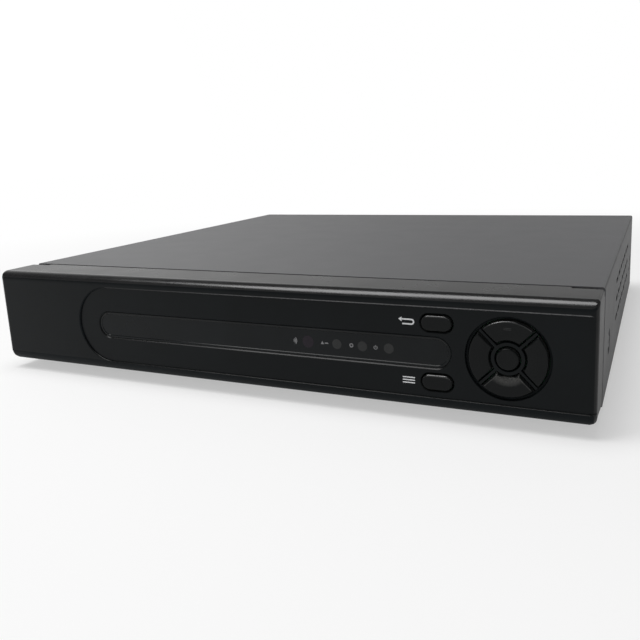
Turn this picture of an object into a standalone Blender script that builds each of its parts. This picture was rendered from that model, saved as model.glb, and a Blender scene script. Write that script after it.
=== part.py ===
"""Desktop video recorder: folded steel case, plastic front with keys, rear sockets, drive, boards and fan.

Metres, +Z up. The front faces -Y. The origin lies on the floor, under the middle of the whole recorder.
"""

import math

import bmesh
import bpy
from mathutils import Matrix, Vector
from mathutils.geometry import interpolate_bezier

# Case
CASE_WIDTH = 0.300
CASE_HEIGHT = 0.049
COVER_LENGTH = 0.252
BEZEL_DEPTH = 0.026
SOCKET_REACH = 0.0095
FOOT_HEIGHT = 0.004
FOOT_RADIUS = 0.009
FOOT_TAPER = 0.0012
FOOT_SIDE_INSET = 0.028
FOOT_END_INSET = 0.030

# Clearances
FIT_GAP = 0.0003
KEY_GAP = 0.0006
PANEL_GAP = 0.0004
SCREW_HOLE_GAP = 0.0003

# Sheet steel
COVER_SHEET = 0.0008
COVER_BEND = 0.0012
COVER_LIP = 0.007
BASE_SHEET = 0.0010
SIDE_FLANGE = 0.010
EAR_LENGTH = 0.042
TRAY_SETBACK = 0.002
TRAY_FRONT_DROP = 0.005

# Side vents, measured from the front seam and up from the base
VENT_START = 0.075
VENT_LENGTH = 0.0135
VENT_HEIGHT = 0.0024
VENT_WEB = 0.004
VENT_COLUMNS = 7
VENT_ROWS = 3
VENT_ROW_PITCH = 0.0094
VENT_FIRST_ROW = 0.0176

# Cover screws and the dimples they sit in
DIMPLE_RADIUS = 0.0055
DIMPLE_FLOOR_RADIUS = 0.0043
DIMPLE_DEPTH = 0.0018
SIDE_SCREW_HEIGHT = 0.0188
SIDE_SCREW_FRONT = 0.030
SIDE_SCREW_REAR = 0.026
REAR_SCREW_INSET = 0.050
SCREW_RADIUS = 0.0015
SCREW_HEAD_RADIUS = 0.0030
SCREW_HEAD_HEIGHT = 0.0014
SCREW_LENGTH = 0.006

# Front bezel
BEZEL_SIDE_INSET = 0.0001
BEZEL_RISE = 0.0005
BEZEL_WALL = 0.0022
FRONT_WALL = 0.004
TOP_ROUND = 0.005
BOTTOM_ROUND = 0.0065
END_ROUND = 0.0030
BEZEL_SIDE_ROUND = 0.0012
LOWER_END_ROUND = 0.0040
SEAM_GAP = 0.0012
NOTCH_WIDTH = 0.0124
NOTCH_DEPTH = 0.003
NOTCH_DROP = 0.003
TONGUE_LENGTH = 0.005
TONGUE_THICKNESS = 0.0015
BOSS_RADIUS = 0.003
BOSS_SIDE_GAP = 0.0012
EDGE_ROUND = 0.0004

# Racetrack recess and the window in it
RECESS_DEPTH = 0.0008
RECESS_HEIGHT = 0.0371
RECESS_START = 0.0535
WINDOW_START = 0.0125
WINDOW_END = 0.0552
WINDOW_HEIGHT = 0.0120
WINDOW_THICKNESS = 0.0012
WINDOW_POCKET = 0.0017
WINDOW_GAP = 0.0005
LIGHT_END = 0.0258
LIGHT_PITCH = 0.0117
LIGHT_RADIUS = 0.00215
RECEIVER_PITCH = 0.0137
RECEIVER_RADIUS = 0.0027
GUIDE_RIM = 0.0010

# Keys
KEY_LENGTH = 0.0126
KEY_HEIGHT = 0.0064
KEY_END = 0.0605
KEY_OFFSET = 0.0122
KEY_PROUD = 0.0007
KEY_ROUND = 0.0006
KEY_RIM = 0.0016
KEY_RIM_THICKNESS = 0.0012
KEY_TRAVEL = 0.0005
STEM_RADIUS = 0.0015
PAD_END = 0.0326
PAD_RADIUS = 0.0165
PAD_GROOVE = 0.0016
PAD_GROOVE_DEPTH = 0.0016
PAD_RIM = 0.0017
DISH_RADIUS = 0.0113
DISH_DEPTH = 0.0006
WEB_WIDTH = 0.0012
WEB_DROP = 0.0003
RING_OUTER = 0.0066
RING_INNER = 0.0050
NAV_GAP = 0.0005

# Keypad board
KEYPAD_DEPTH = 0.0123
KEYPAD_MARGIN = 0.003
KEYPAD_END_GAP = 0.0010
KEYPAD_START = 0.008
BOARD_THICKNESS = 0.0016
STAKE_RADIUS = 0.0010
STAKE_BOSS_RADIUS = 0.0025
STAKE_INSET = 0.004
STAKE_PROUD = 0.0008
SWITCH_SIDE = 0.006
SWITCH_BODY = 0.0035
SWITCH_HEIGHT = 0.005
PLUNGER_RADIUS = 0.00175
PLUG_WIDTH = 0.010
PLUG_DEPTH = 0.005
PLUG_HEIGHT = 0.006
KEYPAD_CABLE_INSET = 0.070
KEYPAD_CABLE_RADIUS = 0.0015
CABLE_HOLE_RADIUS = 0.004

# Main board
STANDOFF = 0.006
STANDOFF_RADIUS = 0.003
STANDOFF_INSET = 0.006
BOARD_REAR_GAP = 0.0006
BOARD_DRIVE_GAP = 0.008
BOARD_MARGIN = 0.003
HEATSINK_SIDE = 0.040
HEATSINK_HEIGHT = 0.016
HEATSINK_BASE = 0.004
HEATSINK_FINS = 8
HEATSINK_SLOT = 0.0030
HEATSINK_FROM_REAR = 0.052
BATTERY_RADIUS = 0.0105
BATTERY_HEIGHT = 0.0055
BATTERY_FROM_HEATSINK = 0.045

# Rear sockets, seen from behind
SOCKET_MARGIN = 0.008
SOCKET_SPACING = 0.004
SOCKET_PROUD = 0.0006
BNC_BODY = 0.0145
BNC_BODY_DEPTH = 0.012
BNC_HEIGHT = 0.0095
BNC_COLLAR_RADIUS = 0.0062
BNC_COLLAR = 0.003
BNC_BARREL_RADIUS = 0.0048
BNC_BORE_RADIUS = 0.0036
BNC_PIN_RADIUS = 0.0011
BNC_LUG_RADIUS = 0.0010
BNC_LUG_PROUD = 0.0009
BNC_LUG_INSET = 0.004
AUDIO_WIDTH = 0.011
AUDIO_PITCH = 0.0125
AUDIO_BODY_DEPTH = 0.011
AUDIO_BARREL_RADIUS = 0.0042
AUDIO_BORE_RADIUS = 0.0016
AUDIO_REACH = 0.0085
VGA_WIDTH = 0.031
VGA_HEIGHT = 0.0125
VGA_BODY_DEPTH = 0.011
VGA_SHELL_WIDTH = 0.0169
VGA_SHELL_HEIGHT = 0.0083
VGA_SHELL_SLOPE = 0.0014
VGA_SHELL_REACH = 0.0055
VGA_NUT_SPREAD = 0.025
VGA_NUT_RADIUS = 0.0027
VGA_NUT_REACH = 0.005
HDMI_WIDTH = 0.0152
HDMI_HEIGHT = 0.0062
HDMI_DEPTH = 0.012
USB_WIDTH = 0.0145
USB_HEIGHT = 0.0158
USB_DEPTH = 0.017
LAN_WIDTH = 0.016
LAN_HEIGHT = 0.0135
LAN_DEPTH = 0.021
LAN_PORT_WIDTH = 0.0117
LAN_PORT_HEIGHT = 0.0084
LAN_PORT_DEPTH = 0.013
SHELL_WALL = 0.0006
PORT_DEPTH = 0.009
TONGUE_PLATE = 0.0014
USB_PORT_HEIGHT = 0.0056
TERMINAL_WAYS = 4
TERMINAL_PITCH = 0.0040
TERMINAL_HEIGHT = 0.009
TERMINAL_DEPTH = 0.010
TERMINAL_HOLE = 0.0026
TERMINAL_HOLE_DEPTH = 0.006
POWER_WIDTH = 0.0095
POWER_HEIGHT = 0.011
POWER_DEPTH = 0.014
POWER_BORE_RADIUS = 0.0032
POWER_PIN_RADIUS = 0.0010

# Hard drive, lying across the case behind the front
DRIVE_LENGTH = 0.147
DRIVE_WIDTH = 0.1016
DRIVE_HEIGHT = 0.0261
DRIVE_SIDE_GAP = 0.012
DRIVE_FRONT_GAP = 0.006
DRIVE_BOSS = 0.003
DRIVE_BOSS_RADIUS = 0.005
DRIVE_EDGE = 0.0012
DRIVE_HOLE_SPACING = 0.0953
DRIVE_HOLE_INSET = 0.030
DRIVE_HOLE_STEP = 0.0763
DRIVE_SCREW_RADIUS = 0.0016
DRIVE_SCREW_BITE = 0.004
DRIVE_CABLE_RADIUS = 0.0022
DRIVE_CABLE_HEIGHT = 0.008

# Fan
FAN_SIZE = 0.040
FAN_DEPTH = 0.010
FAN_MARGIN = 0.008
FAN_HEIGHT = 0.0015
FAN_BORE_RADIUS = 0.019
FAN_TIP_GAP = 0.001
FAN_HUB_RADIUS = 0.0105
FAN_HUB_DISC = 0.0020
FAN_ARM_WIDTH = 0.0030
FAN_BLADES = 7
FAN_BLADE_THICKNESS = 0.0011
FAN_BLADE_TILT = 38.0
FAN_SHAFT_RADIUS = 0.0015
FAN_BEARING_DEPTH = 0.0016
FAN_BEARING_GAP = 0.0001
GRILLE_SLOTS = 7
GRILLE_SLOT_WIDTH = 0.0030
GRILLE_PITCH = 0.0050
GRILLE_MARGIN = 0.0005

# Facets
ROUND_STEPS = 20
SMALL_ROUND_STEPS = 12
END_STEPS = 6
VENT_END_STEPS = 3
BEZEL_ROUND_STEPS = 5
FILLET_STEPS = 2
RECESS_STEPS = 20
PAD_STEPS = 48
FAN_STEPS = 40
CABLE_POINTS = 14
HEX_SIDES = 6

# How far cutters reach past a surface, and how near counts as on it
OVERCUT = 0.005
TOUCH = 0.0001
WELD = 0.000001

# Places worked out from the sizes above
OVERALL_DEPTH = BEZEL_DEPTH + COVER_LENGTH + SOCKET_REACH
FRONT_Y = -OVERALL_DEPTH / 2
SEAM_Y = FRONT_Y + BEZEL_DEPTH
REAR_Y = SEAM_Y + COVER_LENGTH
BASE_Z = FOOT_HEIGHT
TOP_Z = BASE_Z + CASE_HEIGHT
HALF_WIDTH = CASE_WIDTH / 2
BEZEL_HALF = HALF_WIDTH - BEZEL_SIDE_INSET
BEZEL_REAR = SEAM_Y - SEAM_GAP
RECESS_Y = FRONT_Y + RECESS_DEPTH
WALL_BACK = RECESS_DEPTH - FRONT_WALL
FRONT_CENTRE = (CASE_HEIGHT + BEZEL_RISE) / 2
PANEL_Y = REAR_Y - COVER_SHEET - FIT_GAP
TRAY_HALF = HALF_WIDTH - DIMPLE_DEPTH - COVER_SHEET - FIT_GAP
TRAY_FRONT = SEAM_Y + TRAY_SETBACK
TRAY_TOP = TOP_Z - COVER_SHEET - FIT_GAP
FLOOR_Z = BASE_Z + BASE_SHEET
BOSS_X = TRAY_HALF - BASE_SHEET - SCREW_HEAD_RADIUS - BOSS_SIDE_GAP

PAD_X = HALF_WIDTH - PAD_END
KEY_X = HALF_WIDTH - KEY_END
WINDOW_RIGHT = HALF_WIDTH - WINDOW_END
WINDOW_LEFT = -HALF_WIDTH + RECESS_START + WINDOW_START
POWER_LIGHT_X = WINDOW_RIGHT - LIGHT_END
RECORD_LIGHT_X = POWER_LIGHT_X - LIGHT_PITCH
ALARM_LIGHT_X = RECORD_LIGHT_X - LIGHT_PITCH
RECEIVER_X = ALARM_LIGHT_X - RECEIVER_PITCH
NAV_OUTER = PAD_RADIUS - PAD_GROOVE
NAV_INNER = RING_OUTER + NAV_GAP
NAV_SWITCH = (NAV_INNER + NAV_OUTER) / 2
OK_RADIUS = RING_INNER - KEY_GAP
RIM_FRONT = WALL_BACK - FIT_GAP
RIM_BACK = RIM_FRONT - KEY_RIM_THICKNESS
SWITCH_TOP = -KEYPAD_DEPTH + FIT_GAP + SWITCH_HEIGHT
STEM_END = SWITCH_TOP + KEY_TRAVEL + FIT_GAP

KEYPAD_LEFT = RECEIVER_X - KEYPAD_START
KEYPAD_RIGHT = BOSS_X - BOSS_RADIUS - KEYPAD_END_GAP
KEYPAD_LOW = BEZEL_RISE + BEZEL_WALL + KEYPAD_MARGIN
KEYPAD_HIGH = CASE_HEIGHT - BEZEL_WALL - KEYPAD_MARGIN
KEYPAD_PLUG_X = KEYPAD_RIGHT - KEYPAD_CABLE_INSET
KEYPAD_BACK_Y = RECESS_Y + KEYPAD_DEPTH + BOARD_THICKNESS

DRIVE_LEFT = -TRAY_HALF + DRIVE_SIDE_GAP
DRIVE_FRONT = TRAY_FRONT + BASE_SHEET + DRIVE_FRONT_GAP
DRIVE_BACK = DRIVE_FRONT + DRIVE_WIDTH
DRIVE_Z = FLOOR_Z + DRIVE_BOSS + FIT_GAP
BOARD_Z = FLOOR_Z + STANDOFF + FIT_GAP
BOARD_TOP_Z = BOARD_Z + BOARD_THICKNESS
BOARD_FRONT = DRIVE_BACK + BOARD_DRIVE_GAP
BOARD_REAR = PANEL_Y - BASE_SHEET - BOARD_REAR_GAP
PLUG_FRONT = BOARD_FRONT + BOARD_MARGIN
DRIVE_CABLE_Z = DRIVE_Z + DRIVE_CABLE_HEIGHT
DRIVE_END = DRIVE_LEFT + DRIVE_LENGTH
DRIVE_PLUG_X = (DRIVE_END + KEYPAD_PLUG_X) / 2
SOCKET_SEAT = BOARD_TOP_Z + FIT_GAP - BASE_Z
BEHIND_PANEL = -BASE_SHEET - FIT_GAP
TERMINAL_WIDTH = TERMINAL_WAYS * TERMINAL_PITCH
AUDIO_HEIGHT = 2 * AUDIO_PITCH
FAN_X = HALF_WIDTH - FAN_MARGIN - FAN_SIZE / 2
FAN_Y = BASE_SHEET + FAN_HEIGHT + FAN_SIZE / 2

# Sockets along the rear panel, from the left as seen from behind, with their widths
SOCKET_ORDER = (
    ("power_inlet", POWER_WIDTH),
    ("lan_socket", LAN_WIDTH),
    ("usb_socket", USB_WIDTH),
    ("hdmi_socket", HDMI_WIDTH),
    ("vga_socket", VGA_WIDTH),
    ("audio_socket", AUDIO_WIDTH),
    ("bnc_socket_1", BNC_BODY),
    ("bnc_socket_2", BNC_BODY),
    ("bnc_socket_3", BNC_BODY),
    ("bnc_socket_4", BNC_BODY),
    ("terminal_block", TERMINAL_WIDTH),
)
BNC_NAMES = [name for name, width in SOCKET_ORDER if name.startswith("bnc")]


def socket_places():
    """Middle of each socket along the rear panel, seen from behind, and the end of the row."""
    places = {}
    edge = -HALF_WIDTH + SOCKET_MARGIN
    for name, width in SOCKET_ORDER:
        places[name] = edge + width / 2
        edge += width + SOCKET_SPACING
    return places, edge - SOCKET_SPACING


SOCKET_X, SOCKET_ROW_END = socket_places()


# Scene helpers

for old in list(bpy.data.objects):
    bpy.data.objects.remove(old, do_unlink=True)


def new_collection(name):
    made = bpy.data.collections.new(name)
    bpy.context.scene.collection.children.link(made)
    return made


PARTS = new_collection("dvr_recorder")
CUTTERS = new_collection("cutters")


def finish(name, colour, roughness, metallic=0.0):
    """A plain surface: colour, roughness and whether it is metal."""
    material = bpy.data.materials.new(name)
    material.use_nodes = True
    shader = material.node_tree.nodes["Principled BSDF"]
    shader.inputs["Base Color"].default_value = (*colour, 1.0)
    shader.inputs["Roughness"].default_value = roughness
    shader.inputs["Metallic"].default_value = metallic
    return material


BLACK_PLASTIC = finish("black_plastic", (0.013, 0.013, 0.014), 0.32)
KEY_PLASTIC = finish("key_plastic", (0.012, 0.012, 0.013), 0.28)
SMOKED_PLASTIC = finish("smoked_plastic", (0.020, 0.019, 0.021), 0.12)
GUIDE_PLASTIC = finish("guide_plastic", (0.30, 0.31, 0.30), 0.30)
RECEIVER_PLASTIC = finish("receiver_plastic", (0.05, 0.03, 0.05), 0.15)
PAINTED_STEEL = finish("painted_steel", (0.022, 0.022, 0.023), 0.50)
SCREW_STEEL = finish("screw_steel", (0.035, 0.035, 0.037), 0.40, 1.0)
RUBBER = finish("rubber", (0.015, 0.015, 0.015), 0.85)
CIRCUIT_BOARD = finish("circuit_board", (0.02, 0.12, 0.05), 0.45)
NICKEL = finish("nickel", (0.62, 0.60, 0.56), 0.28, 1.0)
SOCKET_PLASTIC = finish("socket_plastic", (0.018, 0.018, 0.019), 0.45)
ALUMINIUM = finish("aluminium", (0.55, 0.56, 0.57), 0.40, 1.0)
SWITCH_PLASTIC = finish("switch_plastic", (0.03, 0.03, 0.03), 0.45)


def add_empty(name, at, turn):
    empty = bpy.data.objects.new(name, None)
    empty.location = at
    empty.rotation_euler = turn
    PARTS.objects.link(empty)
    return empty


# On the front face, x runs right, y up from the base and z out of the recess floor.
FRONT_FACE = add_empty("front_face", (0, RECESS_Y, BASE_Z), (math.pi / 2, 0, 0))
# On the rear panel, seen from behind, x runs right, y up from the base and z out of the panel.
REAR_FACE = add_empty("rear_face", (0, PANEL_Y, BASE_Z), (math.pi / 2, 0, math.pi))


def add_part(name, mesh, material, parent=None, at=(0, 0, 0), turn=(0, 0, 0)):
    """One named piece of the recorder."""
    obj = bpy.data.objects.new(name, mesh)
    if not mesh.materials:
        mesh.materials.append(material)
    PARTS.objects.link(obj)
    obj.parent = parent
    obj.location = at
    obj.rotation_euler = turn
    return obj


def add_cutter(name, mesh, parent=None, at=(0, 0, 0), turn=(0, 0, 0)):
    """A helper shape that is cut from a piece or joined to it."""
    obj = bpy.data.objects.new(name, mesh)
    CUTTERS.objects.link(obj)
    obj.hide_render = True
    obj.display_type = "WIRE"
    obj.parent = parent
    obj.location = at
    obj.rotation_euler = turn
    return obj


def combine(obj, other, operation):
    modifier = obj.modifiers.new(other.name, "BOOLEAN")
    modifier.operation = operation
    modifier.object = other


def cut(obj, *cutters):
    for cutter in cutters:
        combine(obj, cutter, "DIFFERENCE")


def join(obj, *others):
    for other in others:
        combine(obj, other, "UNION")


def add_bevel(obj, width, steps=2):
    modifier = obj.modifiers.new("edges", "BEVEL")
    modifier.width = width
    modifier.segments = steps
    modifier.limit_method = "ANGLE"


def to_mesh(bm, name, outward=True):
    if outward:
        bmesh.ops.recalc_face_normals(bm, faces=bm.faces)
    mesh = bpy.data.meshes.new(name)
    bm.to_mesh(mesh)
    bm.free()
    return mesh


def smooth(mesh, angle=35.0):
    mesh.shade_smooth()
    mesh.set_sharp_from_angle(angle=math.radians(angle))
    return mesh


def baked(obj, *used):
    """The mesh of a helper as its modifiers leave it, in triangles. The helper and what it used go."""
    obj.modifiers.new("flat_faces", "TRIANGULATE")
    bpy.context.view_layer.update()
    graph = bpy.context.evaluated_depsgraph_get()
    mesh = bpy.data.meshes.new_from_object(obj.evaluated_get(graph))
    mesh.name = obj.name
    for helper in (obj, *used):
        bpy.data.objects.remove(helper)
    return smooth(mesh)


# Shapes

def put_box(bm, low, high):
    size = [b - a for a, b in zip(low, high)]
    middle = [(a + b) / 2 for a, b in zip(low, high)]
    made = bmesh.ops.create_cube(bm, size=1.0)
    bmesh.ops.scale(bm, vec=size, verts=made["verts"])
    bmesh.ops.translate(bm, vec=middle, verts=made["verts"])


def put_cylinder(bm, start, end, radius, end_radius=None, steps=ROUND_STEPS):
    """A round bar, or a cone, from one point to another."""
    run = Vector(end) - Vector(start)
    place = Matrix.Translation((Vector(start) + Vector(end)) / 2)
    turn = run.to_track_quat("Z", "Y").to_matrix().to_4x4()
    bmesh.ops.create_cone(
        bm,
        cap_ends=True,
        segments=steps,
        radius1=radius,
        radius2=radius if end_radius is None else end_radius,
        depth=run.length,
        matrix=place @ turn,
    )


def boxes_mesh(name, *corners):
    """One mesh of blocks, each given by its lowest and highest corner."""
    bm = bmesh.new()
    for low, high in corners:
        put_box(bm, low, high)
    return to_mesh(bm, name)


def cylinders_mesh(name, bars, steps=ROUND_STEPS):
    """One mesh of round bars, each given by start, end and radius, and a second radius for a cone."""
    bm = bmesh.new()
    for bar in bars:
        put_cylinder(bm, *bar, steps=steps)
    return smooth(to_mesh(bm, name))


def turned_mesh(name, profile, steps=ROUND_STEPS, closed=False):
    """A turned solid about Z from (radius, height) points that run down its outer side."""
    bm = bmesh.new()
    points = [bm.verts.new((radius, 0, height)) for radius, height in profile]
    for upper, lower in zip(points, points[1:]):
        bm.edges.new((upper, lower))
    if closed:
        bm.edges.new((points[-1], points[0]))
    obj = add_cutter(name, to_mesh(bm, name, outward=False))
    modifier = obj.modifiers.new("turn", "SCREW")
    modifier.steps = steps
    modifier.render_steps = steps
    modifier.use_merge_vertices = True
    modifier.merge_threshold = WELD
    mesh = baked(obj)
    bm = bmesh.new()
    bm.from_mesh(mesh)
    bmesh.ops.recalc_face_normals(bm, faces=bm.faces)
    bm.to_mesh(mesh)
    bm.free()
    return smooth(mesh)


def stadium(straight, radius, steps):
    """Points round a slot with half-round ends, whose end centres lie straight apart."""
    points = []
    for side in (1, -1):
        for i in range(steps + 1):
            angle = math.pi * (i / steps - 0.5)
            across = straight / 2 + radius * math.cos(angle)
            points.append((side * across, side * radius * math.sin(angle)))
    return points


def put_slot(bm, straight, levels, steps=END_STEPS, at=(0, 0)):
    """A slot-shaped solid along Z whose end radius follows (height, radius) levels, lowest first."""
    rings = []
    for height, radius in levels:
        outline = stadium(straight, radius, steps)
        rings.append([bm.verts.new((at[0] + x, at[1] + y, height)) for x, y in outline])
    bm.faces.new(reversed(rings[0]))
    bm.faces.new(rings[-1])
    for lower, upper in zip(rings, rings[1:]):
        for i, corner in enumerate(lower):
            j = (i + 1) % len(lower)
            bm.faces.new((corner, lower[j], upper[j], upper[i]))


def slot_mesh(name, straight, levels, steps=END_STEPS):
    bm = bmesh.new()
    put_slot(bm, straight, levels, steps)
    return smooth(to_mesh(bm, name))


def arc_steps():
    return [math.pi / 2 * i / FILLET_STEPS for i in range(FILLET_STEPS + 1)]


def rounded_top(top, radius, fillet):
    """Levels that round off the top edge of a piece."""
    return [
        (top - fillet + fillet * math.sin(a), radius - fillet + fillet * math.cos(a))
        for a in arc_steps()
    ]


def flared_top(top, radius, fillet):
    """Levels of a cutter that leave a rounded edge round an opening, ending above the surface."""
    levels = [
        (top - fillet + fillet * math.sin(a), radius + fillet - fillet * math.cos(a))
        for a in arc_steps()
    ]
    return [*levels, (top + OVERCUT, radius + fillet)]


def as_profile(levels):
    """Levels from bottom to top, as a turned profile from top to bottom."""
    return [(radius, height) for height, radius in reversed(levels)]


def sector_mesh(name, profile, inset):
    """A quarter of a turned ring round +Y, with straight sides that lie inset from the diagonals."""
    ring = add_cutter(name, turned_mesh(name, profile, PAD_STEPS, closed=True))
    side = 4 * PAD_RADIUS
    corner = add_cutter(
        name + "_corner",
        boxes_mesh(name + "_corner", ((0, 0, -side), (side, side, side))),
        at=(0, inset * math.sqrt(2), 0),
        turn=(0, 0, math.pi / 4),
    )
    combine(ring, corner, "INTERSECT")
    return baked(ring, corner)


def cable_mesh(name, start, lead, approach, end, radius):
    """A round cable on one smooth curve that leaves start towards lead and comes to end from approach."""
    points = interpolate_bezier(start, lead, approach, end, CABLE_POINTS)
    curve = bpy.data.curves.new(name, "CURVE")
    curve.dimensions = "3D"
    curve.bevel_depth = radius
    curve.bevel_resolution = 2
    curve.use_fill_caps = True
    spline = curve.splines.new("POLY")
    spline.points.add(len(points) - 1)
    for target, point in zip(spline.points, points):
        target.co = (*point, 1.0)
    obj = bpy.data.objects.new(name, curve)
    CUTTERS.objects.link(obj)
    mesh = baked(obj)
    bm = bmesh.new()
    bm.from_mesh(mesh)
    bmesh.ops.remove_doubles(bm, verts=bm.verts, dist=WELD)
    bmesh.ops.recalc_face_normals(bm, faces=bm.faces)
    bm.to_mesh(mesh)
    bm.free()
    return mesh


def screw_mesh(name, length, radius=SCREW_RADIUS):
    """A pan-head screw along Z. Its head stands on z = 0 and its shank runs down."""
    crown = rounded_top(SCREW_HEAD_HEIGHT, SCREW_HEAD_RADIUS, SCREW_HEAD_HEIGHT / 2)
    profile = [(0, SCREW_HEAD_HEIGHT), *as_profile(crown)]
    profile += [(SCREW_HEAD_RADIUS, 0), (radius, 0), (radius, -length), (0, -length)]
    return turned_mesh(name, profile, SMALL_ROUND_STEPS)


# Front bezel

def bezel_edge_round(middle):
    """Radius of the bezel's outer edge whose middle is given."""
    front = middle.y < FRONT_Y + TOUCH
    top = middle.z > TOP_Z - TOUCH
    low = middle.z < BASE_Z + BEZEL_RISE + TOUCH
    side = abs(middle.x) > BEZEL_HALF - TOUCH
    if front and top:
        return TOP_ROUND
    if front and low:
        return BOTTOM_ROUND
    if front and side:
        return END_ROUND
    if side and top:
        return BEZEL_SIDE_ROUND
    if side and low:
        return LOWER_END_ROUND
    return 0.0


def bezel_block():
    """The bezel's outer form as a solid block with rounded edges, open to no side yet."""
    largest = max(TOP_ROUND, BOTTOM_ROUND, END_ROUND, BEZEL_SIDE_ROUND, LOWER_END_ROUND)
    bm = bmesh.new()
    put_box(bm, (-BEZEL_HALF, FRONT_Y, BASE_Z + BEZEL_RISE), (BEZEL_HALF, BEZEL_REAR, TOP_Z))
    weight = bm.edges.layers.float.new("bevel_weight_edge")
    for edge in bm.edges:
        middle = (edge.verts[0].co + edge.verts[1].co) / 2
        edge[weight] = bezel_edge_round(middle) / largest
    obj = add_cutter("bezel_block", to_mesh(bm, "bezel_block"))
    modifier = obj.modifiers.new("rounds", "BEVEL")
    modifier.limit_method = "WEIGHT"
    modifier.width = largest
    modifier.segments = BEZEL_ROUND_STEPS
    return baked(obj)


def recess_cutter(block):
    """The racetrack recess: open at the right end, and as deep all over as the front it follows."""
    radius = RECESS_HEIGHT / 2
    left = -HALF_WIDTH + RECESS_START + radius
    right = HALF_WIDTH + RECESS_HEIGHT
    levels = [(-FRONT_WALL, radius), *flared_top(RECESS_DEPTH, radius, EDGE_ROUND)]
    track = add_cutter(
        "recess",
        slot_mesh("recess", right - left, levels, RECESS_STEPS),
        FRONT_FACE,
        ((left + right) / 2, FRONT_CENTRE, 0),
    )
    cut(track, add_cutter("recess_floor", block, at=(0, RECESS_DEPTH, 0)))
    return track


def window_cutters():
    """The window's pocket, and the holes in its floor for the light guides."""
    radius = WINDOW_HEIGHT / 2 + WINDOW_GAP
    straight = WINDOW_RIGHT - WINDOW_LEFT - WINDOW_HEIGHT
    levels = [(-WINDOW_POCKET, radius), *flared_top(0, radius, EDGE_ROUND)]
    middle = ((WINDOW_LEFT + WINDOW_RIGHT) / 2, FRONT_CENTRE, 0)
    pocket = slot_mesh("window_pocket", straight, levels, 2 * END_STEPS)
    bars = []
    for x, radius in guide_places().values():
        start = (x, FRONT_CENTRE, -FRONT_WALL)
        end = (x, FRONT_CENTRE, -WINDOW_POCKET + OVERCUT)
        bars.append((start, end, radius + SCREW_HOLE_GAP))
    holes = cylinders_mesh("guide_holes", bars, SMALL_ROUND_STEPS)
    return (
        add_cutter("window_pocket", pocket, FRONT_FACE, middle),
        add_cutter("guide_holes", holes, FRONT_FACE),
    )


def key_cutters():
    """Openings of the two slot keys, and the round hole of the direction pad."""
    radius = KEY_HEIGHT / 2 + KEY_GAP
    levels = [(-FRONT_WALL, radius), *flared_top(0, radius, EDGE_ROUND)]
    slot = slot_mesh("key_opening", KEY_LENGTH - KEY_HEIGHT, levels)
    made = []
    for side in (1, -1):
        place = (KEY_X, FRONT_CENTRE + side * KEY_OFFSET, 0)
        made.append(add_cutter("key_opening", slot, FRONT_FACE, place))

    profile = [(0, OVERCUT), *as_profile(flared_top(0, PAD_RADIUS, EDGE_ROUND))]
    profile += [(PAD_RADIUS, -FRONT_WALL), (0, -FRONT_WALL)]
    hole = turned_mesh("pad_hole", profile, PAD_STEPS)
    made.append(add_cutter("pad_hole", hole, FRONT_FACE, (PAD_X, FRONT_CENTRE, 0)))
    return made


def pad_spider():
    """What parts the pad's keys: a ring round the centre key, four webs and a rim at the hole's floor."""
    back = WALL_BACK + TOUCH
    top = -WEB_DROP
    floor = -PAD_GROOVE_DEPTH
    rim_inner = NAV_OUTER + NAV_GAP
    rim_outer = PAD_RADIUS + EDGE_ROUND
    profile = [(RING_INNER, top), (RING_OUTER, top), (RING_OUTER, back), (RING_INNER, back)]
    spider = add_cutter("pad_spider", turned_mesh("pad_spider", profile, PAD_STEPS, closed=True))

    root = (RING_INNER + RING_OUTER) / 2
    tip = NAV_OUTER + NAV_GAP / 2
    foot = (rim_inner + PAD_RADIUS) / 2
    side_view = [(root, back), (foot, back), (foot, floor), (tip, floor), (tip, top), (root, top)]
    bm = bmesh.new()
    for turn in range(4):
        faces = []
        for y in (-WEB_WIDTH / 2, WEB_WIDTH / 2):
            faces.append(bm.faces.new([bm.verts.new((x, y, z)) for x, z in side_view]))
        near, far = (list(face.verts) for face in faces)
        for i, corner in enumerate(near):
            j = (i + 1) % len(near)
            bm.faces.new((corner, near[j], far[j], far[i]))
        spin = Matrix.Rotation(math.pi / 4 + turn * math.pi / 2, 4, "Z")
        bmesh.ops.transform(bm, matrix=spin, verts=near + far)
    webs = add_cutter("pad_webs", to_mesh(bm, "pad_webs"))

    profile = [(rim_inner, floor), (rim_outer, floor), (rim_outer, back), (rim_inner, back)]
    rim = add_cutter("pad_rim", turned_mesh("pad_rim", profile, PAD_STEPS, closed=True))
    join(spider, webs, rim)
    return add_cutter("pad_spider", baked(spider, webs, rim), FRONT_FACE, (PAD_X, FRONT_CENTRE, 0))


def stake_places():
    """Where the keypad board is staked to the bezel."""
    xs = (KEYPAD_LEFT + STAKE_INSET, KEYPAD_RIGHT - STAKE_INSET)
    ys = (KEYPAD_LOW + STAKE_INSET, KEYPAD_HIGH - STAKE_INSET)
    return [(x, y) for x in xs for y in ys]


def bezel_bosses():
    """Posts inside the bezel: two for the chassis screws and four stakes for the keypad board."""
    root = WALL_BACK + FIT_GAP
    screw_end = RECESS_Y - TRAY_FRONT + FIT_GAP
    board_front = -KEYPAD_DEPTH + FIT_GAP
    stake_end = -KEYPAD_DEPTH - BOARD_THICKNESS - STAKE_PROUD
    bars = []
    for side in (1, -1):
        x = side * BOSS_X
        bars.append(((x, FRONT_CENTRE, screw_end), (x, FRONT_CENTRE, root), BOSS_RADIUS))
    posts, stakes = [], []
    for x, y in stake_places():
        posts.append(((x, y, board_front), (x, y, root), STAKE_BOSS_RADIUS))
        stakes.append(((x, y, stake_end), (x, y, root), STAKE_RADIUS))
    return [
        add_cutter(name, cylinders_mesh(name, group, SMALL_ROUND_STEPS), FRONT_FACE)
        for name, group in (("bezel_bosses", bars), ("keypad_posts", posts), ("keypad_stakes", stakes))
    ]


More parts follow.
